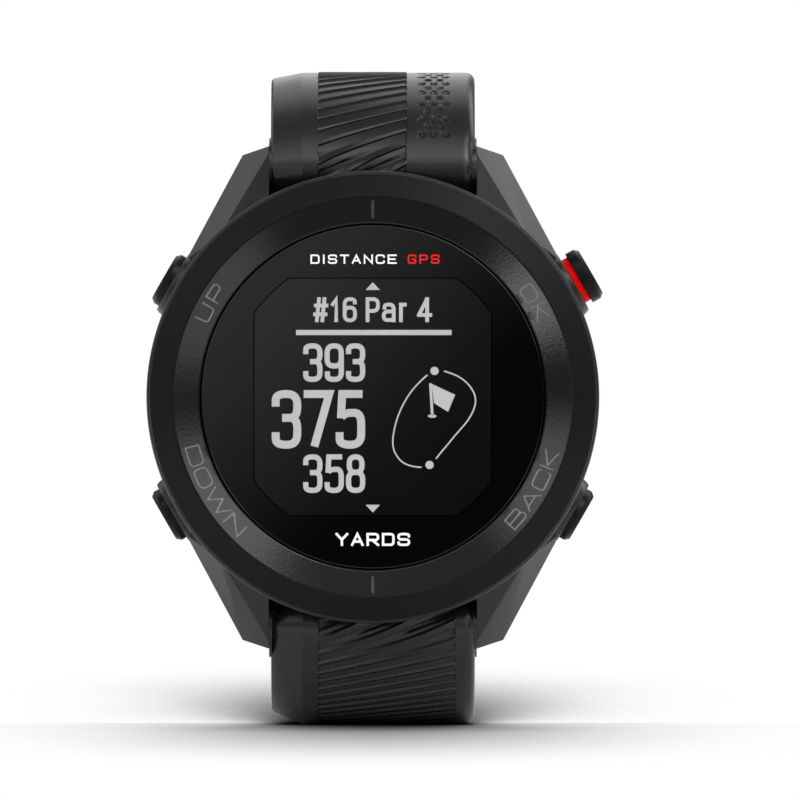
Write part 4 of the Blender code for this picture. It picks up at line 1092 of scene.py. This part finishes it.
def strap_details(strap, end):
    """The core of the root with its bore and the window for the release knob.

    The core narrows on the left, under the dropped facet. A collar at each end meets the lug, and a
    filler closes the gap towards the case.
    """
    half = STRAP_GAP / 2 - 0.012 * MM
    small = ROOT_RADIUS - FACET_DROP[end] - 0.3 * MM
    facet = FACET_WIDTH - STRAP_HALF_WIDTH
    profile = [(0, -half), (small, -half), (small, 0.4 * MM - STRAP_HALF_WIDTH), (ROOT_CORE_RADIUS, facet),
               (ROOT_CORE_RADIUS, half), (0, half)]
    at, lower = bar_place(end), bar_place(end, down=0.8 * MM)
    add = partial(cut, strap, operation="UNION", solver="MANIFOLD")
    take = partial(cut, strap, solver="MANIFOLD")
    add(moved(along_x(lathe(filleted(profile, 0.05 * MM, steps=3), 96)), at))
    add(cross_rod(bar_place(end, 0.5 * MM, 1 * MM), 2.6 * MM, -half, facet - 1.2 * MM, 96))
    for inner, outer in ((-half, 0.1 * MM - ROOT_HALF_WIDTH), (ROOT_HALF_WIDTH - 0.1 * MM, half)):
        add(cross_rod(lower, ROOT_RADIUS, inner, outer, 96))
    take(moved(slab(rounded(4.2 * MM, 1.8 * MM, 0.5 * MM), -5 * MM, 0.13 * MM, (-6.9 * MM, 0)), at))
    take(cross_rod(at, BAR_BORE, -BAR_BORE_REACH, BAR_BORE_REACH))


def build_upper_strap():
    mesh, stations = strap_mesh(1, UPPER_LEGS_AFTER, False)
    strap = piece("strap_upper_ribbed", mesh, "upper_strap_half", "silicone",
                  ["strap_upper"])
    strap_details(strap, 1)
    bar_frame = at_station(stations[-1], 1, 0.45 * MM, STRAP_THICKNESS / 2)
    boss = [(0, -9.6 * MM), (1.7 * MM, -9.6 * MM), (1.7 * MM, 9.6 * MM), (0, 9.6 * MM)]
    boss = moved(along_x(lathe(filleted(boss, 0.3 * MM), 64)), bar_frame)
    cut(strap, boss, "UNION", solver="MANIFOLD")
    notch = slab(rounded(6.2 * MM, 10 * MM, 0.8 * MM), -4 * MM, 4 * MM, (0, 2.6 * MM))
    for taken in (cross_rod(bar_frame, BAR_BORE, -BAR_BORE_REACH, BAR_BORE_REACH), moved(notch, bar_frame)):
        cut(strap, taken, solver="MANIFOLD")
    crisp(strap, 20)
    return stations, bar_frame


def build_lower_strap():
    mesh, stations = strap_mesh(-1, LOWER_LEGS_AFTER, True)
    strap = piece("strap_lower_ribbed", mesh, "lower_strap_half", "silicone",
                  ["strap_lower"])
    strap_details(strap, -1)
    slots = []
    for number in range(SLOT_COUNT):
        station = station_near(stations, SLOT_START + number * SLOT_PITCH)
        slot = slab(rounded(*SLOT_SIZE, SLOT_SIZE[1] / 2 - 0.05 * MM), -4 * MM, 2 * MM)
        slots.append(moved(slot, at_station(station, -1)))
    cut(strap, joined(slots), solver="MANIFOLD")
    crisp(strap, 20)


def soften(obj, width, segments=3):
    """Rounds a piece's edges with a Bevel modifier."""
    bevel = obj.modifiers.new("soft_edges", "BEVEL")
    bevel.width = width
    bevel.segments = segments
    bevel.limit_method = "ANGLE"
    bevel.angle_limit = math.radians(35)


def build_buckle(bar_frame):
    wide, narrow, near = BUCKLE_HALF_WIDTH, BUCKLE_INSIDE, -1.7 * MM
    inside = BUCKLE_REACH - CROSSBAR_DEPTH
    inner = filleted([(-narrow, near, 0), (-narrow, inside, 0), (narrow, inside, 0), (narrow, near, 0)],
                     0.9 * MM)
    outer = filleted([(wide, near, 0), (wide, BUCKLE_REACH, 0), (-wide, BUCKLE_REACH, 0), (-wide, near, 0)],
                     1.8 * MM)
    mesh = slab([point.xy for point in inner + outer], -1.1 * MM, 0.9 * MM)
    buckle = piece("buckle_frame_fine", moved(mesh, bar_frame), "buckle", "buckle",
                   ["buckle_frame"])
    cut(buckle, cross_rod(bar_frame, 0.5 * MM, -11.4 * MM, 11.4 * MM, 24))
    crisp(buckle, 30)
    soften(buckle, 0.22 * MM)

    # The tongue's side view, from the eye round the bar to the tip that lies on the frame
    eye = 1.55 * MM
    side = [(eye * math.cos(math.radians(a)), eye * math.sin(math.radians(a))) for a in range(100, 331, 10)]
    side += in_mm([(3.2, 0.6), (5.0, 1.0), (10.3, 1.0), (10.8, 1.3), (10.3, 1.85), (4.5, 1.85), (1.5, 1.6)])
    blade = loft([[(x, y, z) for y, z in side] for x in (-TONGUE_HALF, TONGUE_HALF)])
    tongue = piece("buckle_tongue_fine", moved(blade, bar_frame), "tongue", "buckle",
                   ["buckle_tongue"])
    cut(tongue, cross_rod(bar_frame, BAR_BORE, -5 * MM, 5 * MM, 32))
    crisp(tongue, 30)
    soften(tongue, 0.2 * MM)


def build_keepers(stations):
    length = stations[-1][0]
    bend_start = length - UPPER_END - UPPER_BEND * math.pi / 2
    slack = 0.3 * MM
    width = 2 * STRAP_HALF_WIDTH + 2 * slack
    height = STRAP_THICKNESS + KEEPER_ROOM + slack
    wide, high = width + 2 * KEEPER_WALL, height + 2 * KEEPER_WALL
    middle = (KEEPER_ROOM - STRAP_THICKNESS - slack) / 2
    for name, body, travelled in (
        ("fixed_keeper", "upper_strap_half", length - 6.0 * MM),
        ("free_keeper", "loose_keeper", bend_start + UPPER_BEND * FREE_KEEPER_ANGLE),
    ):
        inner = rounded(width, height, 0.9 * MM)
        outer = rounded(wide, high, 1.9 * MM)
        shrunk = rounded(wide - 2 * KEEPER_EDGE, high - 2 * KEEPER_EDGE, 1.5 * MM)
        front, back = KEEPER_LENGTH / 2, -KEEPER_LENGTH / 2
        rings = [[(x, y, z + middle) for x, z in outline] for outline, y in (
            (shrunk, back), (outer, back + KEEPER_EDGE), (outer, front - KEEPER_EDGE), (shrunk, front),
            (inner, front), (inner, back))]
        place = at_station(station_near(stations, travelled), 1)
        keeper = piece(f"{name}_loop", moved(loft(rings, loop=True), place), body, "silicone",
                       [name])
        soften(keeper, 0.18 * MM)


def build_springs():
    """The coil inside each bar, which shortens as the release pin slides in."""
    turns, steps, sides = 5, 16, 8
    wire, count = SPRING_WIRE, turns * steps
    for end in ("upper", "lower"):
        node = f"{end}_bar_spring"
        low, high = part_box(node)
        start, finish = low[0] + wire, high[0] - wire
        centre = Vector((0, (low[1] + high[1]) / 2, (low[2] + high[2]) / 2))
        radius = (high[2] - low[2]) / 2 - wire
        rings = []
        for i in range(count + 1):
            angle = TAU * i / steps
            out = Vector((0, math.cos(angle), math.sin(angle)))
            middle = centre + out * radius
            middle.x = start + (finish - start) * i / count
            rings.append([middle + wire * (math.cos(turn) * out + math.sin(turn) * Vector((1, 0, 0)))
                          for turn in (TAU * side / sides for side in range(sides))])
        mesh = moved(loft(rings), TO_ROW.inverted())
        spring = piece(f"{end}_bar_coil", mesh, f"{end}_strap_half", "steel", [node])
        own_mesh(spring)


# ---------------------------------------------------------------- carried-over nodes

def finish_cad_nodes():
    """Every CAD node that still shows gets the finish of its slot, with smooth round faces."""
    by_slot = {
        "seal_rubber": "seal", "display_glass": "panel", "diffuser": "diffuser", "inner_polymer": "inner",
        "flex_film": "flex", "board_laminate": "board", "shield_tin": "shield",
        "antenna_ceramic": "ceramic", "battery_wrap": "battery", "steel": "steel", "contact_gold": "gold",
    }
    slots = {part["node"]: part["material_slot"] for part in frame["record"]["subparts"]}
    for name, node in frame["nodes"].items():
        if slots[name] in by_slot:
            node.data.materials.clear()
            node.data.materials.append(LOOK[by_slot[slots[name]]])
            crisp(node)


# ---------------------------------------------------------------- studio

CAMERA_DISTANCE = 2.2
FIELD = 77.15 * MM
CAMERA_RISE = math.radians(0.45)
CAMERA_RIGHT, CAMERA_DOWN = 2.62 * MM, 0.29 * MM
# Brightness round the room at angles up from the front, over the top to the back at 180 degrees
DOME = ((-180, 0.6), (180, 0.6), (-120, 0.4), (-60, 0.4), (-25, 0.25), (0, 0.03), (12, 0.12), (25, 0.7),
        (40, 2.1), (52, 2.6), (62, 1.4), (70, 0.25), (96, 0.25), (108, 1.5), (130, 1.9), (160, 1.7))
SIDE_LEFT, SIDE_RIGHT = 0.5, 0.4
# Direction, cosine of the edge and strength
SOFTBOXES = (((0.65, 0.41, 0.64), 0.92, 1.5), ((0.40, -0.60, 0.69), 0.95, 5.0),
             ((-0.30, -0.94, -0.171), 0.9955, 5.0), ((0.296, -0.94, -0.171), 0.985, 1.7),
             ((0.27, -0.94, 0.21), 0.985, 3.5), ((-0.31, -0.94, 0.16), 0.990, 2.7))
# The card that the lens reflects: where its ramp starts and ends, and its strength
CARD_START, CARD_END, CARD_STRENGTH = -0.009, 0.032, 0.56
FLOOR_SLOPE = math.tan(math.radians(5.5))
FLOOR_RISE = math.tan(math.radians(4))
FLOOR_FRONT, FLOOR_BACK, FLOOR_HALF_WIDTH = -0.14, 0.6, 0.6
# How far the object's painted shade reaches over the floor, from how much unoccluded light left on it the floor
# looks clear, and how fast the painted shadow deepens
SHADE_REACH, FLOOR_CLEAR, FLOOR_SHADE = 45 * MM, 0.93, 3.2


def studio_dome():
    """White for the camera. For everything else, a studio whose brightness depends on the direction."""
    world = bpy.data.worlds.new("studio_dome")
    bpy.context.scene.world = world
    world.use_nodes = True
    tree = world.node_tree
    tree.nodes.clear()
    calculate = partial(maths, tree)
    soft = partial(ranged, tree, interpolation_type="SMOOTHSTEP")

    def times(first, second):
        return calculate("MULTIPLY", first, second)

    def plus(first, second):
        return calculate("ADD", first, second)

    def less(first, second):
        return calculate("SUBTRACT", first, second)

    generated = add_node(tree, "TexCoord", {}).outputs["Generated"]
    split = add_node(tree, "SeparateXYZ", {"Vector": generated})
    x, y, z = (split.outputs[axis] for axis in "XYZ")
    # The angle up from the front, over the top and down the back, then the brightness at that angle
    angle = calculate("ARCTAN2", z, times(y, -1.0))
    brightness = add_node(tree, "ValToRGB", {"Fac": plus(calculate("DIVIDE", angle, TAU), 0.5)})
    elements = brightness.color_ramp.elements
    brightest = max(value for _, value in DOME)
    for number, (degrees, value) in enumerate(DOME):
        spot = degrees / 360 + 0.5
        element = elements[number] if number < 2 else elements.new(spot)
        element.position = spot
        element.color = (value / brightest,) * 3 + (1,)
    across = times(x, x)
    arc = times(times(brightness.outputs["Color"], brightest), calculate("SQRT", less(1.0, across)))
    # Dark flags to the left and right of the backdrop keep the edges of the object dark
    beside = soft(calculate("ABSOLUTE", x), 0.0, 0.85, 0.05, 0.3)
    arc = times(arc, less(1.0, times(beside, soft(y, 0.0, 1.0, 0.45, 0.8))))
    total = plus(arc, times(across, soft(x, SIDE_LEFT, SIDE_RIGHT, -0.2, 0.2)))
    for direction, cosine, strength in SOFTBOXES:
        dx, dy, dz = Vector(direction).normalized()
        facing = plus(times(x, dx), plus(times(y, dy), times(z, dz)))
        total = plus(total, soft(facing, 0.0, strength, cosine, 1 - (1 - cosine) * 0.3))
    diagonal = less(less(z, CAMERA_RISE), x)
    card = soft(diagonal, 0.0, CARD_STRENGTH, CARD_START / CAMERA_DISTANCE, CARD_END / CAMERA_DISTANCE)
    total = plus(total, times(card, soft(y, 0.0, 1.0, -0.95, -0.99)))
    seen = add_node(tree, "LightPath", {}).outputs["Is Camera Ray"]
    strength = add_node(tree, "Mix", {"Factor": seen, "A": total, "B": 1.0}, data_type="FLOAT")
    background = add_node(tree, "Background", {"Color": (1, 1, 1, 1), "Strength": strength.outputs["Result"]})
    add_node(tree, "OutputWorld", {"Surface": background.outputs["Background"]})


def floor_finish():
    """Reflected in the object, a pale solid with painted shade from ambient occlusion. Seen, a clear sheet with
    only the object's painted shadow on it, black as deep as the occlusion.

    That way a strap that swings below the floor still shows.
    """
    made, tree, shader = shader_of("pale_floor_painted_shadow")
    pale = mixed(tree, noise(tree, 30), (0.94, 0.94, 0.94), (0.96, 0.96, 0.96))
    occlusion = add_node(tree, "AmbientOcclusion", {"Distance": SHADE_REACH, "Color": pale}, samples=24)
    seen = add_node(tree, "LightPath", {}).outputs["Is Camera Ray"]
    # Painted shade: the pale colour darkened by the ambient occlusion, which is what reflections and bounced light
    # see
    pale_with_painted_shade = blended(tree, 0.55, pale, occlusion.outputs["Color"])
    light = ranged(tree, occlusion.outputs["AO"], 0.0, 1.0, 0.0, FLOOR_CLEAR)
    light = maths(tree, "POWER", light, FLOOR_SHADE)
    underneath = add_node(tree, "NewGeometry", {}).outputs["Backfacing"]
    clear = maths(tree, "MULTIPLY", maths(tree, "MAXIMUM", light, underneath), seen)
    # Painted shadow: for the camera the floor is black, and the ambient occlusion sets how opaque it is
    tree.links.new(blended(tree, seen, pale_with_painted_shade, (0, 0, 0, 1)), shader.inputs["Base Color"])
    tree.links.new(maths(tree, "SUBTRACT", 1.0, clear), shader.inputs["Alpha"])
    shader.inputs["Roughness"].default_value = 0.9
    shader.inputs["Specular IOR Level"].default_value = 0.0
    return made


def eased(slope, step, count):
    """A curve that steepens from level to the slope, as (distance, rise)."""
    return [(step * i, slope * step * i ** 2 / (2 * count)) for i in range(count + 1)]


def build_floor():
    """A sheet, level where the strap rests on it, that falls in front and rises behind."""
    level = cad_low.z - 0.05 * MM
    resting = [vertex.co.y for vertex in bpy.data.objects["strap_lower_ribbed"].data.vertices
               if vertex.co.z < level + 0.4 * MM]
    front, back = min(resting), max(resting)
    rows = [(front - away, -fall) for away, fall in reversed(eased(FLOOR_SLOPE, 2 * MM, 8))]
    rows.insert(0, (FLOOR_FRONT, rows[0][1] - FLOOR_SLOPE * (rows[0][0] - FLOOR_FRONT)))
    behind = eased(FLOOR_RISE, 5 * MM, 4)
    away, rise = behind[-1]
    behind.append((FLOOR_BACK, rise + FLOOR_RISE * (FLOOR_BACK - away)))
    rows += [(back + away, rise) for away, rise in behind]
    bm = bmesh.new()
    pairs = [[bm.verts.new((x, y, level + rise)) for x in (-FLOOR_HALF_WIDTH, FLOOR_HALF_WIDTH)]
             for y, rise in rows]
    for near, far in zip(pairs, pairs[1:]):
        bm.faces.new((near[0], near[1], far[1], far[0]))
    floor = bpy.data.objects.new("floor", finished(bm, "floor"))
    if floor.data.polygons[0].normal.z < 0:
        floor.data.flip_normals()
    floor.data.shade_smooth()
    bpy.context.scene.collection.objects.link(floor)
    floor.data.materials.append(floor_finish())
    floor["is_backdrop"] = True


def build_camera():
    data = bpy.data.cameras.new("camera")
    data.sensor_width = 36
    data.lens = data.sensor_width * CAMERA_DISTANCE / FIELD
    data.clip_start = 0.05
    camera = bpy.data.objects.new("camera", data)
    bpy.context.scene.collection.objects.link(camera)
    camera.location = (CAMERA_RIGHT, -CAMERA_DISTANCE - FLANGE_FRONT,
                       -CAMERA_DOWN - CAMERA_DISTANCE * CAMERA_RISE)
    camera.rotation_euler = (math.pi / 2 + CAMERA_RISE, 0, 0)
    bpy.context.scene.camera = camera


bpy.context.scene.view_settings.view_transform = "Standard"
studio_dome()
build_camera()
finish_cad_nodes()
build_mid_case()
build_bezel()
build_lens()
build_graphics()
build_back()
build_buttons()
upper_stations, buckle_place = build_upper_strap()
build_lower_strap()
build_buckle(buckle_place)
build_keepers(upper_stations)
build_springs()
build_floor()

low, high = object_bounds()
{"cad": [list(cad_low), list(cad_high)], "visual": [list(low), list(high)]}
